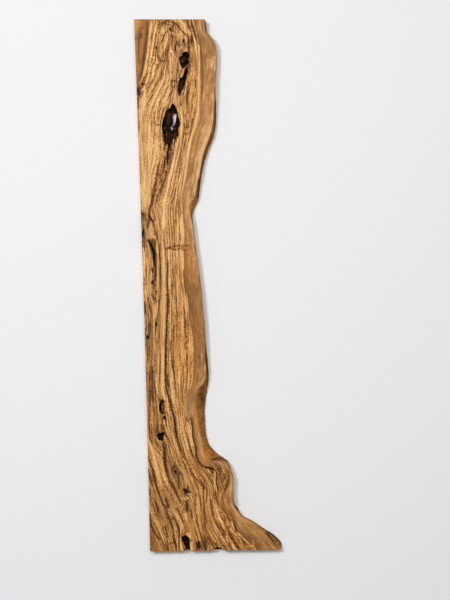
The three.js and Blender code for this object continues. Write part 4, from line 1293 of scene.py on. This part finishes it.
def grain_place(pixels):
    """Place across the grain at each point: the same all along one line of the grain."""
    places = line_places([line for _, line in GRAIN_LINES], pixels[:, 1])
    values = np.array([value for value, _ in GRAIN_LINES], float)
    outer = np.maximum(places[-1] + 8, live_edge_place(pixels[:, 1]))
    places = np.vstack([places[:1] - 30, places, outer, outer + 40])
    values = np.concatenate([[values[0] - 30], values, [OUTER_GRAIN_PLACE, OUTER_GRAIN_PLACE + 30]])
    across = pixels[:, 0]
    index = np.clip((places < across).sum(0), 1, len(places) - 1)
    column = np.arange(len(across))
    left = places[index - 1, column]
    right = places[index, column]
    share = np.clip((across - left) / np.maximum(right - left, 0.5), 0, 1)
    return values[index - 1] + (values[index] - values[index - 1]) * share


def live_edge_place(heights):
    """How far across the photograph the front arris of the live edge is at each height down it."""
    stations = in_pixels(np.array([(station[1], station[0]) for station in LIVE_EDGE], float))
    return np.interp(heights, stations[::-1, 1], stations[::-1, 0])


def in_pixels(points):
    """Points of the slab, in millimetres, as pixels of the photograph."""
    return np.stack([
        PHOTO_FOOT[0] + points[:, 0] / PIXEL,
        PHOTO_FOOT[1] - points[:, 1] / PIXEL,
    ], 1)


def soft_spot(pixels, across, down, half_width, half_length):
    """How much of a soft oval spot lies at each point: 1 in its middle, and less outwards."""
    x = (pixels[:, 0] - across) / half_width
    y = (pixels[:, 1] - down) / half_length
    return np.exp(-(x * x + y * y))


def streaked(pixels, streaks, spots=()):
    """How much the streaks and spots of one tone show at each point."""
    field = np.zeros(len(pixels))
    for number, (half_width, strength, points) in enumerate(streaks):
        line = smooth_line(points, 1.5)
        near = within(pixels, line, half_width * 2.6)
        gap, share = distance_to(pixels[near], line)
        uneven = noise(STREAK_NOISE + number, pixels[near, 0] / 1.5, pixels[near, 1] / 4)
        width = half_width * (1 + 0.25 * uneven) * (0.45 + 0.55 * np.sin(np.pi * share) ** 0.5)
        taper = smooth_step(0, 0.10, share) * smooth_step(0, 0.10, 1 - share)
        amount = strength * np.exp(-(gap / width) ** 2) * (0.4 + 0.6 * taper)
        field[near] = 1 - (1 - field[near]) * (1 - amount)
    for *spot, strength in spots:
        field = 1 - (1 - field) * (1 - strength * soft_spot(pixels, *spot))
    return field


def plain_share(pixels):
    """How plain the wood is at each point: 1 in the plain wood, and less close round it."""
    plain = np.zeros(len(pixels))
    for loop in PLAIN_WOOD:
        outline = np.array(loop, float)
        gap, _ = distance_to(pixels, outline, True)
        plain = np.maximum(plain, np.where(inside(pixels, outline), 1, np.exp(-(gap / 0.7) ** 2)))
    return plain


def wood_fields(vertices, surface, mouths):
    """The values that the wood's material reads: three under each name, at each vertex."""
    across, up, height = vertices.T
    below = SLAB_THICKNESS - height
    on_front = surface == FRONT_FACE
    # The grain lines lean as they go down through the thickness.
    lean = below * GRAIN_LEAN + 1.6 * noise(LEAN_NOISE, up / 60, below / 9) * (below > 0.5)
    pixels = in_pixels(np.stack([across + np.where(on_front, 0, lean), up], 1))
    push = np.zeros(len(pixels))
    tone = np.zeros(len(pixels))
    for *knot, bend, shade in KNOTS:
        spot = soft_spot(pixels, *knot)
        push += bend * spot
        tone += shade * spot
    for *patch, amount in TONES:
        tone += amount * soft_spot(pixels, *patch)
    burl = soft_spot(pixels, *BURL)
    push += BURL_WANDER * burl * noise(BURL_NOISE, pixels[:, 0] / 7, pixels[:, 1] / 9)
    plain = plain_share(pixels)
    plain_lean = np.where(pixels[:, 1] > PHOTO_SIZE[1] / 2, PLAIN_LEAN[1], PLAIN_LEAN[0])
    plain_place = pixels[:, 0] - plain_lean * pixels[:, 1]
    place = (1 - plain) * (grain_place(pixels) + push) + plain * plain_place
    sap_side = pixels[:, 0] - line_places([HEARTWOOD_EDGE], pixels[:, 1])[0]
    hollow = np.where(on_front, hollow_depth(vertices[:, :2], mouths), 0)
    fields = {
        "grain": (place * PIXEL, up, below),
        "streaks": (
            streaked(pixels, DARK_STREAKS, DARK_SPOTS),
            streaked(pixels, PALE_STREAKS, PALE_SPOTS),
            tone,
        ),
        "place": (sap_side, surface == LIVE_SIDE, hollow),
        "cut": (surface == SAWN_SIDE, surface == SAWN_END, plain),
        "tints": (
            streaked(pixels, ORANGE_STREAKS, ORANGE_SPOTS),
            streaked(pixels, GREY_STREAKS, GREY_SPOTS),
            streaked(pixels, PINK_STREAKS),
        ),
        "edges": (
            surface == HOLLOW_WALL,
            streaked(in_pixels(vertices[:, :2]), BARK),
            streaked(pixels, (), CALM_SPOTS),
        ),
    }
    return {name: np.stack(values, 1).astype(np.float32) for name, values in fields.items()}


# Colours

def linear(red, green, blue):
    """A colour picked on a screen, from 0 to 255, as the linear colour that a shader takes."""
    parts = [value / 255 for value in (red, green, blue)]
    return tuple(
        part / 12.92 if part <= 0.04045 else ((part + 0.055) / 1.055) ** 2.4 for part in parts
    ) + (1.0,)


def shaded(color, share):
    """A darker shade of a linear colour."""
    return tuple(part * share for part in color[:3]) + (1.0,)


def between(first, second, share):
    """A colour between two linear colours."""
    return tuple(a + (b - a) * share for a, b in zip(first, second))


PALE_RIM = linear(240, 186, 120)
RING_COLORS = (linear(96, 60, 30), linear(168, 118, 70))
SAWDUST = linear(222, 178, 126)
FRESH_WANE = linear(190, 128, 62)
ORANGE_STAIN = linear(206, 128, 46)
GREY_STAIN = linear(126, 94, 64)
PINK_WOOD = linear(214, 160, 112)
BLACK_LINE = linear(26, 15, 9)
BARK_COLORS = (linear(30, 17, 8), linear(112, 70, 32))
# Dark rotted wood in the hollows, and the near black painted shade of their deep parts
DARK_ROT_AND_PAINTED_SHADE = (linear(58, 34, 19), linear(14, 8, 5))


def heartwood_stops(settings):
    """Colours of the heartwood, from its darkest lines to its palest streaks."""
    return (
        (0.0, shaded(settings.dark_wood, 0.6)),
        (0.16, tuple(settings.dark_wood)),
        (0.33, tuple(settings.brown_wood)),
        (0.52, tuple(settings.honey_wood)),
        (0.68, between(settings.honey_wood, settings.pale_wood, 0.45)),
        (0.88, tuple(settings.pale_wood)),
    )


def sapwood_stops(settings):
    """Colours of the sapwood, from its darker bands to its lighter ones."""
    return (
        (0.0, shaded(settings.sapwood, 0.42)),
        (0.5, tuple(settings.sapwood)),
        (0.9, between(settings.sapwood, settings.pale_wood, 0.62)),
    )


# Material

def set_stops(elements, stops):
    """Gives a colour ramp its places and colours."""
    while len(elements) < len(stops):
        elements.new(0.5)
    for element, (position, color) in zip(elements, stops):
        element.position = position
        element.color = color


class Value:
    """A number, vector or colour that changes over the wood: the output of a shader node."""

    def __init__(self, tree, socket):
        self.tree = tree
        self.socket = socket

    def node(self, kind, settings=None, inputs=None, output=0):
        """A new node: its settings are set first, then its sockets are given values or links."""
        node = self.tree.nodes.new(kind)
        for name, value in (settings or {}).items():
            if name == "stops":
                set_stops(node.color_ramp.elements, value)
            else:
                setattr(node, name, value)
        for name, value in (inputs or {}).items():
            if isinstance(value, Value):
                self.tree.links.new(value.socket, node.inputs[name])
            else:
                node.inputs[name].default_value = value
        return Value(self.tree, node.outputs[output] if node.outputs else None)

    def math(self, operation, *values):
        return self.node("ShaderNodeMath", {"operation": operation}, dict(enumerate(values)))

    def __add__(self, other):
        return self.math("ADD", self, other)

    def __radd__(self, other):
        return self.math("ADD", other, self)

    def __sub__(self, other):
        return self.math("SUBTRACT", self, other)

    def __rsub__(self, other):
        return self.math("SUBTRACT", other, self)

    def __mul__(self, other):
        return self.math("MULTIPLY", self, other)

    def __rmul__(self, other):
        return self.math("MULTIPLY", other, self)

    def __truediv__(self, other):
        return self.math("DIVIDE", self, other)

    def __rtruediv__(self, other):
        return self.math("DIVIDE", other, self)

    def __abs__(self):
        return self.math("ABSOLUTE", self)

    def clamp(self):
        return self.node("ShaderNodeClamp", None, {0: self})

    def root(self):
        return self.math("SQRT", self)

    def wave(self):
        """Its sine, from -1 to 1."""
        return self.math("SINE", self)

    def step(self, low, high):
        """From 0 at low to 1 at high, with soft ends."""
        settings = {"interpolation_type": "SMOOTHSTEP"}
        return self.node(
            "ShaderNodeMapRange", settings, {0: self, 1: low, 2: high, 3: 0.0, 4: 1.0},
        )

    def near(self, gap, reach):
        """1 where it is within the gap of nought, and 0 past the reach."""
        return 1 - abs(self).step(gap, reach)

    def over(self, ground, color):
        """This share of one colour laid over another."""
        settings = {"data_type": "RGBA", "clamp_factor": True}
        return self.node("ShaderNodeMix", settings, {0: self, 6: ground, 7: color}, 2)

    def vector(self, x, y, z):
        return self.node("ShaderNodeCombineXYZ", None, {0: x, 1: y, 2: z})

    def toned(self, stops):
        """The colour that this tone has on a ramp of colours."""
        return self.node("ShaderNodeValToRGB", {"stops": stops}, {0: self})


class Wood:
    """What the slab's vertices tell its material, and the noises that run along its grain."""

    def __init__(self, tree):
        self.start = Value(tree, None)
        self.across, self.along, self.below = self.parts("grain")
        self.dark, self.pale, self.tone = self.parts("streaks")
        self.sap_side, self.live, self.hollow = self.parts("place")
        self.sawn, self.sawn_end, self.plain = self.parts("cut")
        self.orange, self.grey, self.pink = self.parts("tints")
        self.opening, self.bark, self.quiet = self.parts("edges")
        self.bands = self.mottled(11.0, 260.0, 3.1)
        self.ribbons = self.mottled(4.6, 120.0, 11.7)
        self.lines = self.mottled(2.7, 66.0, 17.9)
        self.threads = self.mottled(1.7, 32.0, 23.4)
        self.hairs = self.mottled(0.8, 7.0, 37.9)
        self.specks = self.mottled(2.0, 3.2, 71.9, 1.0)
        self.patches = self.mottled(30.0, 70.0, 51.3)
        self.flecks = self.mottled(4.6, 26.0, 91.2, 3.0)
        self.clouds = self.mottled(15.0, 24.0, 97.6)
        self.fibres = self.mottled(40.0, 3.2, 5.9, 3.0, 0.6, 12.0)
        self.veins = self.mottled(7.0, 170.0, 67.7, 3.0).near(0.0, 0.035)
        travel = (self.along * self.sawn + self.across * self.sawn_end) * 1.5 + self.below * 0.5
        self.saw_marks = (travel + self.threads * 6 + self.patches * 22).wave()

    def parts(self, attribute):
        """The three values that each vertex holds under one name."""
        whole = self.start.node("ShaderNodeAttribute", {"attribute_name": attribute}, None, 1)
        return [whole.node("ShaderNodeSeparateXYZ", None, {0: whole}, part) for part in range(3)]

    def mottled(self, width, length, seed, detail=2.0, roughness=0.55, depth=60.0):
        """Streaky noise: so wide across the grain and so long along it, in millimetres."""
        where = self.start.vector(
            self.across / width, self.along / length, self.below / depth + seed,
        )
        inputs = {"Vector": where, "Scale": 1.0, "Detail": detail, "Roughness": roughness}
        return where.node("ShaderNodeTexNoise", {"noise_dimensions": "3D"}, inputs) - 0.5

    def heartwood(self, settings):
        """Honey brown wood with dark and pale streaks."""
        ticks = self.mottled(2.4, 11.0, 61.5, 1.0).step(0.13, 0.25)
        pale_veins = self.mottled(6.0, 130.0, 83.9, 3.0).near(0.0, 0.035)
        fine = (
            self.ribbons * 0.88 + self.lines * 1.25 + self.threads * 1.05 + pale_veins * 0.12
            - self.veins * 0.18 - ticks * 0.16 + self.bands * 0.40
        )
        fine = fine * (1 - self.plain * 0.72) * (1 - self.pink * 0.35) * (1 - self.quiet)
        fine = fine * (1 - self.dark * 0.7)
        grit = (self.hairs * 0.82 + self.specks * 0.6) * (1 - self.plain * 0.6)
        figure = (
            0.53 + fine * (1 - self.pale * 0.35) + grit + self.patches * 0.30
            + self.pale * 0.35 - self.dark * 0.50 - self.plain * 0.11 + self.tone
        )
        return figure.toned(heartwood_stops(settings))

    def sapwood(self, settings):
        """Plain brown wood with faint flecks, darker where it meets the heartwood."""
        fine = (
            self.flecks * 1.4 + self.lines * 0.9 + self.threads * 0.7 + self.clouds * 0.9
            + self.bands * 0.6
        )
        figure = (
            0.50 + fine * (1 - self.quiet) + self.hairs * 0.5 + self.specks * 0.26
            + self.pale * 0.45 - self.dark * 0.5 + self.tone * 1.5
            - (1 - self.sap_side.step(0.5, 5.5)) * 0.16
        )
        return figure.toned(sapwood_stops(settings))

    def face(self, settings):
        """Heartwood and sapwood, with the dark seam and the pale rim where they meet."""
        boundary = (self.sap_side + self.lines * 1.2).step(-0.6, 0.7)
        wood = boundary.over(self.heartwood(settings), self.sapwood(settings))
        seam = (self.sap_side - 0.9).near(0.2, 1.3)
        seam = seam * (0.55 + self.bands * 2.0 + self.flecks).clamp()
        wood = (seam * 0.5).over(wood, tuple(settings.brown_wood))
        rim = (self.sap_side + 1.0).near(0.2, 1.0)
        rim = rim * (0.62 + self.bands * 2.2 + self.ribbons).clamp() * (1 - self.dark)
        return (rim * 0.55).over(wood, PALE_RIM)

    def with_cuts(self, wood):
        """The wood with growth rings round the heart on its sawn ends, and with saw marks."""
        aside = self.across - HEART_PLACE * PIXEL
        deep = self.below - HEART_DEPTH
        out = (aside * aside + deep * deep * 4.0).root() + self.ribbons * 9.0 + self.lines * 3.0
        rings = (out * 0.62).wave() * 0.26 + (out * 1.9).wave() * 0.13
        rays = self.mottled(1.6, 40.0, 41.3, 2.0, 0.6, 9.0)
        end_tone = 0.46 + rings + rays * 0.9 + self.bands * 0.8 + self.specks * 0.5
        wood = (self.sawn_end * 0.55).over(wood, end_tone.clamp().over(*RING_COLORS))
        sawdust = (self.saw_marks * 0.22 + 0.5 + self.clouds * 1.5).clamp()
        return ((self.sawn * 0.18 + self.sawn_end * 0.14) * sawdust).over(wood, SAWDUST)

    def with_wane(self, wood, settings):
        """The wood with the darker, rougher wane on its live edge."""
        clumps = self.mottled(40.0, 22.0, 7.3, 3.0, 0.6, 7.0)
        figure = (0.50 + clumps * 1.2 + self.fibres * 2.0 + self.tone * 1.5).clamp()
        wane = figure.over(shaded(settings.wane, 0.36), FRESH_WANE)
        return (self.live * (0.92 + self.threads * 0.6).clamp()).over(wood, wane)

    def with_stains(self, wood):
        """The wood with its orange, grey and pink stains and its blackest lines."""
        for amount, color in (
            (self.orange * 0.62, ORANGE_STAIN),
            (self.grey * 0.5, GREY_STAIN),
            (self.pink * 0.6, PINK_WOOD),
        ):
            wood = (amount * (1 - self.dark * 0.7)).over(wood, color)
        return (self.dark.step(0.84, 1.0) * 0.8).over(wood, BLACK_LINE)

    def with_bark(self, wood):
        """The wood with scraps of bark on its live edge."""
        bark = (0.35 + self.fibres * 1.6 + self.flecks * 1.2).clamp().over(*BARK_COLORS)
        amount = self.bark * (1.15 + self.fibres * 0.8 + self.flecks * 0.6)
        return amount.clamp().over(wood, bark)

    def with_hollows(self, wood, settings):
        """The wood with its rotted hollows, and painted shade that darkens them where they are
        deep.
        """
        figure = self.mottled(6.0, 10.0, 29.1, 4.0, 0.65, 6.0) * 3.4 - 0.1 + self.opening * 0.3
        share = figure.clamp() * (self.hollow.step(9.0, 14.0) + self.opening).clamp()
        share = share + self.orange * (0.35 + self.flecks * 1.5)
        # Painted shade: the hollows go from dark rot to near black as they get deeper
        shade = self.hollow.step(5.0, 9.0).over(*DARK_ROT_AND_PAINTED_SHADE)
        rot = share.clamp().over(shade, tuple(settings.rot))
        return (self.hollow.step(0.3, 2.4) + self.opening).clamp().over(wood, rot)

    def roughness(self):
        """Sanded faces are the smoothest, and the live edge, bark and hollows the roughest."""
        rough = 0.50 + self.hairs * 0.18 - self.pale * 0.03 + self.dark * 0.06
        rough = rough + self.live * 0.22 + self.bark * 0.2 + self.hollow.step(0.3, 3.0) * 0.35
        return (rough + self.sawn * 0.10 + self.sawn_end * 0.14).clamp()

    def relief(self):
        """How high fibres, pores, saw marks and rotted wood stand out."""
        where = self.start.vector(self.across / 0.9, self.along / 6.0, self.below / 0.9)
        inputs = {"Vector": where, "Scale": 1.0}
        pores = where.node("ShaderNodeTexVoronoi", {"feature": "F1"}, inputs)
        torn = self.mottled(2.2, 16.0, 44.4, 4.0, 0.6, 3.0)
        crumbled = self.mottled(1.8, 2.6, 55.5, 4.0, 0.6, 2.0)
        return (
            self.hairs * 0.6 + self.threads * 0.5 - self.dark * 0.25 - self.veins * 0.12
            + pores.step(0.0, 0.25) * 0.15 + self.saw_marks * 0.10 * (self.sawn + self.sawn_end)
            + self.live * torn * 3.0 + self.hollow.step(0.3, 3.0) * crumbled * 4.0
        )


def wood_material(name, settings):
    """Olive wood, with its heartwood, sapwood, live edge, sawn sides and rotted hollows."""
    material = bpy.data.materials.new(name)
    material.use_nodes = True
    tree = material.node_tree
    tree.nodes.clear()
    wood = Wood(tree)
    color = wood.with_wane(wood.with_cuts(wood.face(settings)), settings)
    color = wood.with_bark(wood.with_stains(color))
    color = wood.with_hollows(color, settings)
    bump = color.node("ShaderNodeBump", None, {
        "Strength": settings.relief, "Distance": 0.0005, "Height": wood.relief(),
    })
    shader = color.node("ShaderNodeBsdfPrincipled", None, {
        "Base Color": color, "Roughness": wood.roughness(), "Normal": bump,
        "IOR": 1.45, "Specular IOR Level": 0.14,
    })
    shader.node("ShaderNodeOutputMaterial", None, {"Surface": shader})
    return material


def floor_material(name, color):
    """A pale, dull floor."""
    material = bpy.data.materials.new(name)
    material.use_nodes = True
    shader = material.node_tree.nodes["Principled BSDF"]
    shader.inputs["Base Color"].default_value = color
    shader.inputs["Roughness"].default_value = 0.75
    shader.inputs["Specular IOR Level"].default_value = 0.2
    return material


# Pieces and stage

def in_frame(across, up, height):
    """A place of the drawing, in millimetres, as a place in the frame, in metres."""
    low = CAD_BOX[0]
    return low[0] + (across - TOP_LEFT_INSET) * MM, low[1] + up * MM, low[2] + height * MM


def add_object(scene, name, data):
    """Puts a mesh, lamp or camera into the scene."""
    item = bpy.data.objects.new(name, data)
    scene.collection.objects.link(item)
    return item


def add_lamp(scene, name, shape, power, size, place, color):
    """Adds an area lamp that shines straight down."""
    lamp = bpy.data.lights.new(name, "AREA")
    lamp.shape = shape
    lamp.size, lamp.size_y = size
    lamp.energy = power
    lamp.color = color
    item = add_object(scene, name, lamp)
    item.location = place
    return item


def add_world(scene, strength):
    """Adds even white light from all sides."""
    world = bpy.data.worlds.new("soft_daylight")
    world.use_nodes = True
    background = world.node_tree.nodes["Background"]
    background.inputs["Color"].default_value = (1.0, 1.0, 1.0, 1.0)
    background.inputs["Strength"].default_value = strength
    scene.world = world


def add_camera(scene):
    """Adds the camera, straight over the middle of the photograph."""
    camera = bpy.data.cameras.new("camera")
    camera.lens = LENS
    camera.sensor_fit = "VERTICAL"
    camera.sensor_height = SENSOR_HEIGHT
    camera.clip_end = SIGHT
    across = (PHOTO_SIZE[0] / 2 - PHOTO_FOOT[0]) * PIXEL
    up = (PHOTO_FOOT[1] - PHOTO_SIZE[1] / 2) * PIXEL
    distance = LENS * PHOTO_SIZE[1] * PIXEL / SENSOR_HEIGHT
    scene.camera = add_object(scene, "camera", camera)
    scene.camera.location = in_frame(across, up, SLAB_THICKNESS + distance)


def color_property(name, description, color):
    """A colour that the user can pick."""
    return FloatVectorProperty(
        name=name, description=description, default=linear(*color),
        subtype="COLOR", size=4, min=0, max=1,
    )


def length_property(name, description, length, least):
    """A length that the user can set."""
    return FloatProperty(
        name=name, description=description, default=length, min=least,
        subtype="DISTANCE", unit="LENGTH",
    )


def power_property(name, description, power):
    """A lamp's power that the user can set."""
    return FloatProperty(name=name, description=description, default=power, min=0, unit="POWER")


class SlabSettings(bpy.types.PropertyGroup):
    """Sizes and colours of the slab."""

    length: length_property(
        "Length", "Length of the slab, from its sawn foot to its top",
        CAD_BOX[1][1] - CAD_BOX[0][1], 0.1,
    )
    thickness: length_property(
        "Thickness", "Thickness of the slab between its sanded faces",
        CAD_BOX[1][2] - CAD_BOX[0][2], 0.005,
    )
    step_across: length_property(
        "Step across", "Spacing of the front face's vertices across the grain",
        FRONT_STEPS[0] * MM, 0.0005,
    )
    step_along: length_property(
        "Step along", "Spacing of the front face's vertices along the grain",
        FRONT_STEPS[1] * MM, 0.0005,
    )
    relief: FloatProperty(
        name="Relief", description="How strongly fibres, pores and saw marks stand out",
        default=0.35, min=0, max=1, subtype="FACTOR",
    )
    dark_wood: color_property("Dark lines", "Colour of the darkest heartwood lines", (72, 40, 12))
    brown_wood: color_property("Brown heartwood", "Colour of the brown streaks", (126, 79, 34))
    honey_wood: color_property("Honey heartwood", "Colour of most of the heartwood", (187, 128, 63))
    pale_wood: color_property("Pale heartwood", "Colour of the palest streaks", (237, 192, 131))
    sapwood: color_property("Sapwood", "Colour of the plain wood by the live edge", (172, 119, 66))
    wane: color_property("Wane", "Colour of the live edge below the sanded face", (142, 90, 36))
    rot: color_property("Rotted wood", "Colour of the walls of the hollows", (132, 76, 38))


class StageSettings(bpy.types.PropertyGroup):
    """Sizes, colour and light of the place that the slab is shown in."""

    floor_size: length_property("Floor size", "Length of each side of the floor", 60.0, 1)
    floor_color: FloatVectorProperty(
        name="Floor colour", description="Colour of the pale floor",
        default=(0.823, 0.825, 0.832, 1.0), subtype="COLOR", size=4, min=0, max=1,
    )
    sky_light: FloatProperty(
        name="Light all round", description="Strength of the even light from all sides",
        default=0.22, min=0,
    )
    overhead_power: power_property(
        "Overhead lamp", "Power of the large soft lamp over the slab", 136.0,
    )
    side_power: power_property(
        "Side lamp", "Power of the small lamp that gives the slab its shadow", 83.5,
    )
    glow_power: power_property(
        "Light in the opening", "Power of the light on the floor in the opening", 0.0007,
    )


class SLAB_OT_slab(bpy.types.Operator):
    """Adds the olive wood slab, hollowed and with its live edge, in place of its plain solid"""

    bl_idname = "slab.add_slab"
    bl_label = "Olive wood slab"

    def execute(self, context):
        settings = context.scene.olive_slab
        steps = (settings.step_across / MM, settings.step_along / MM)
        drawing, triangles, surface, mouths = slab_mesh(*steps)
        if len(triangles) > MOST_TRIANGLES:
            raise RuntimeError(f"The slab has {len(triangles)} triangles, over {MOST_TRIANGLES}")
        length_scale = settings.length / SLAB_LENGTH
        thickness_scale = settings.thickness / SLAB_THICKNESS
        low = Vector(CAD_BOX[0])
        origin = np.array([low.x - TOP_LEFT_INSET * length_scale, low.y, low.z])
        scale = np.array([length_scale, length_scale, thickness_scale])
        mesh = bpy.data.meshes.new("olive_slab")
        mesh.from_pydata(origin + drawing * scale, [], triangles)
        mesh.validate()
        mesh.shade_smooth()
        mesh.set_sharp_from_angle(angle=math.radians(SHARP_ANGLE))
        for name, values in wood_fields(drawing, surface, mouths).items():
            attribute = mesh.attributes.new(name, "FLOAT_VECTOR", "POINT")
            attribute.data.foreach_set("vector", values.ravel())
        mesh.materials.append(wood_material("olive_wood", settings))
        slab = add_object(context.scene, "olive_slab", mesh)
        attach(slab, "root")
        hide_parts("slab")
        return {"FINISHED"}


class SLAB_OT_stage(bpy.types.Operator):
    """Adds the pale floor, the soft light and the camera"""

    bl_idname = "slab.add_stage"
    bl_label = "Floor, light and camera"

    def execute(self, context):
        scene = context.scene
        settings = scene.slab_stage
        low, high = (Vector(corner) for corner in CAD_BOX)
        half = settings.floor_size / 2
        corners = [(-half, -half), (half, -half), (half, half), (-half, half)]
        mesh = bpy.data.meshes.new("floor")
        mesh.from_pydata([(x, y, low.z - FLOOR_GAP) for x, y in corners], [], [(0, 1, 2, 3)])
        mesh.materials.append(floor_material("pale_floor", settings.floor_color))
        floor = add_object(scene, "floor", mesh)

        add_world(scene, settings.sky_light)
        middle = Vector((low.x + high.x, low.y + high.y, 0.0)) / 2
        for name, power, (size, place, color) in (
            ("overhead_lamp", settings.overhead_power, OVERHEAD_LAMP),
            ("side_lamp", settings.side_power, SIDE_LAMP),
        ):
            lamp = add_lamp(scene, name, "DISK", power, (size, size), place, color)
            lamp.rotation_euler = (middle - lamp.location).to_track_quat("-Z", "Y").to_euler()
        place = in_frame(*np.array(THROUGH_OPENING, float).mean(0), GLOW_HEIGHT)
        power = settings.glow_power
        name = "light_under_opening"
        glow = add_lamp(scene, name, "ELLIPSE", power, GLOW_SIZE, place, GLOW_COLOR)
        glow.visible_camera = False

        add_camera(scene)
        scene.view_settings.view_transform = "Standard"
        return {"FINISHED"}


class SLAB_PT_panel(bpy.types.Panel):
    """The slab and its stage, in the sidebar"""

    bl_idname = "SLAB_PT_panel"
    bl_label = "Olive wood slab"
    bl_space_type = "VIEW_3D"
    bl_region_type = "UI"
    bl_category = "Slab"

    def draw(self, context):
        for group, operator in (("olive_slab", SLAB_OT_slab), ("slab_stage", SLAB_OT_stage)):
            box = self.layout.box()
            settings = getattr(context.scene, group)
            for name in settings.__annotations__:
                box.prop(settings, name)
            box.operator(operator.bl_idname)


CLASSES = (SlabSettings, StageSettings, SLAB_OT_slab, SLAB_OT_stage, SLAB_PT_panel)


def register():
    for item in CLASSES:
        bpy.utils.register_class(item)
    bpy.types.Scene.olive_slab = PointerProperty(type=SlabSettings)
    bpy.types.Scene.slab_stage = PointerProperty(type=StageSettings)


def unregister():
    del bpy.types.Scene.slab_stage
    del bpy.types.Scene.olive_slab
    for item in reversed(CLASSES):
        bpy.utils.unregister_class(item)


def main():
    register()
    bpy.ops.slab.add_slab()
    bpy.ops.slab.add_stage()


if __name__ == "__main__":
    main()
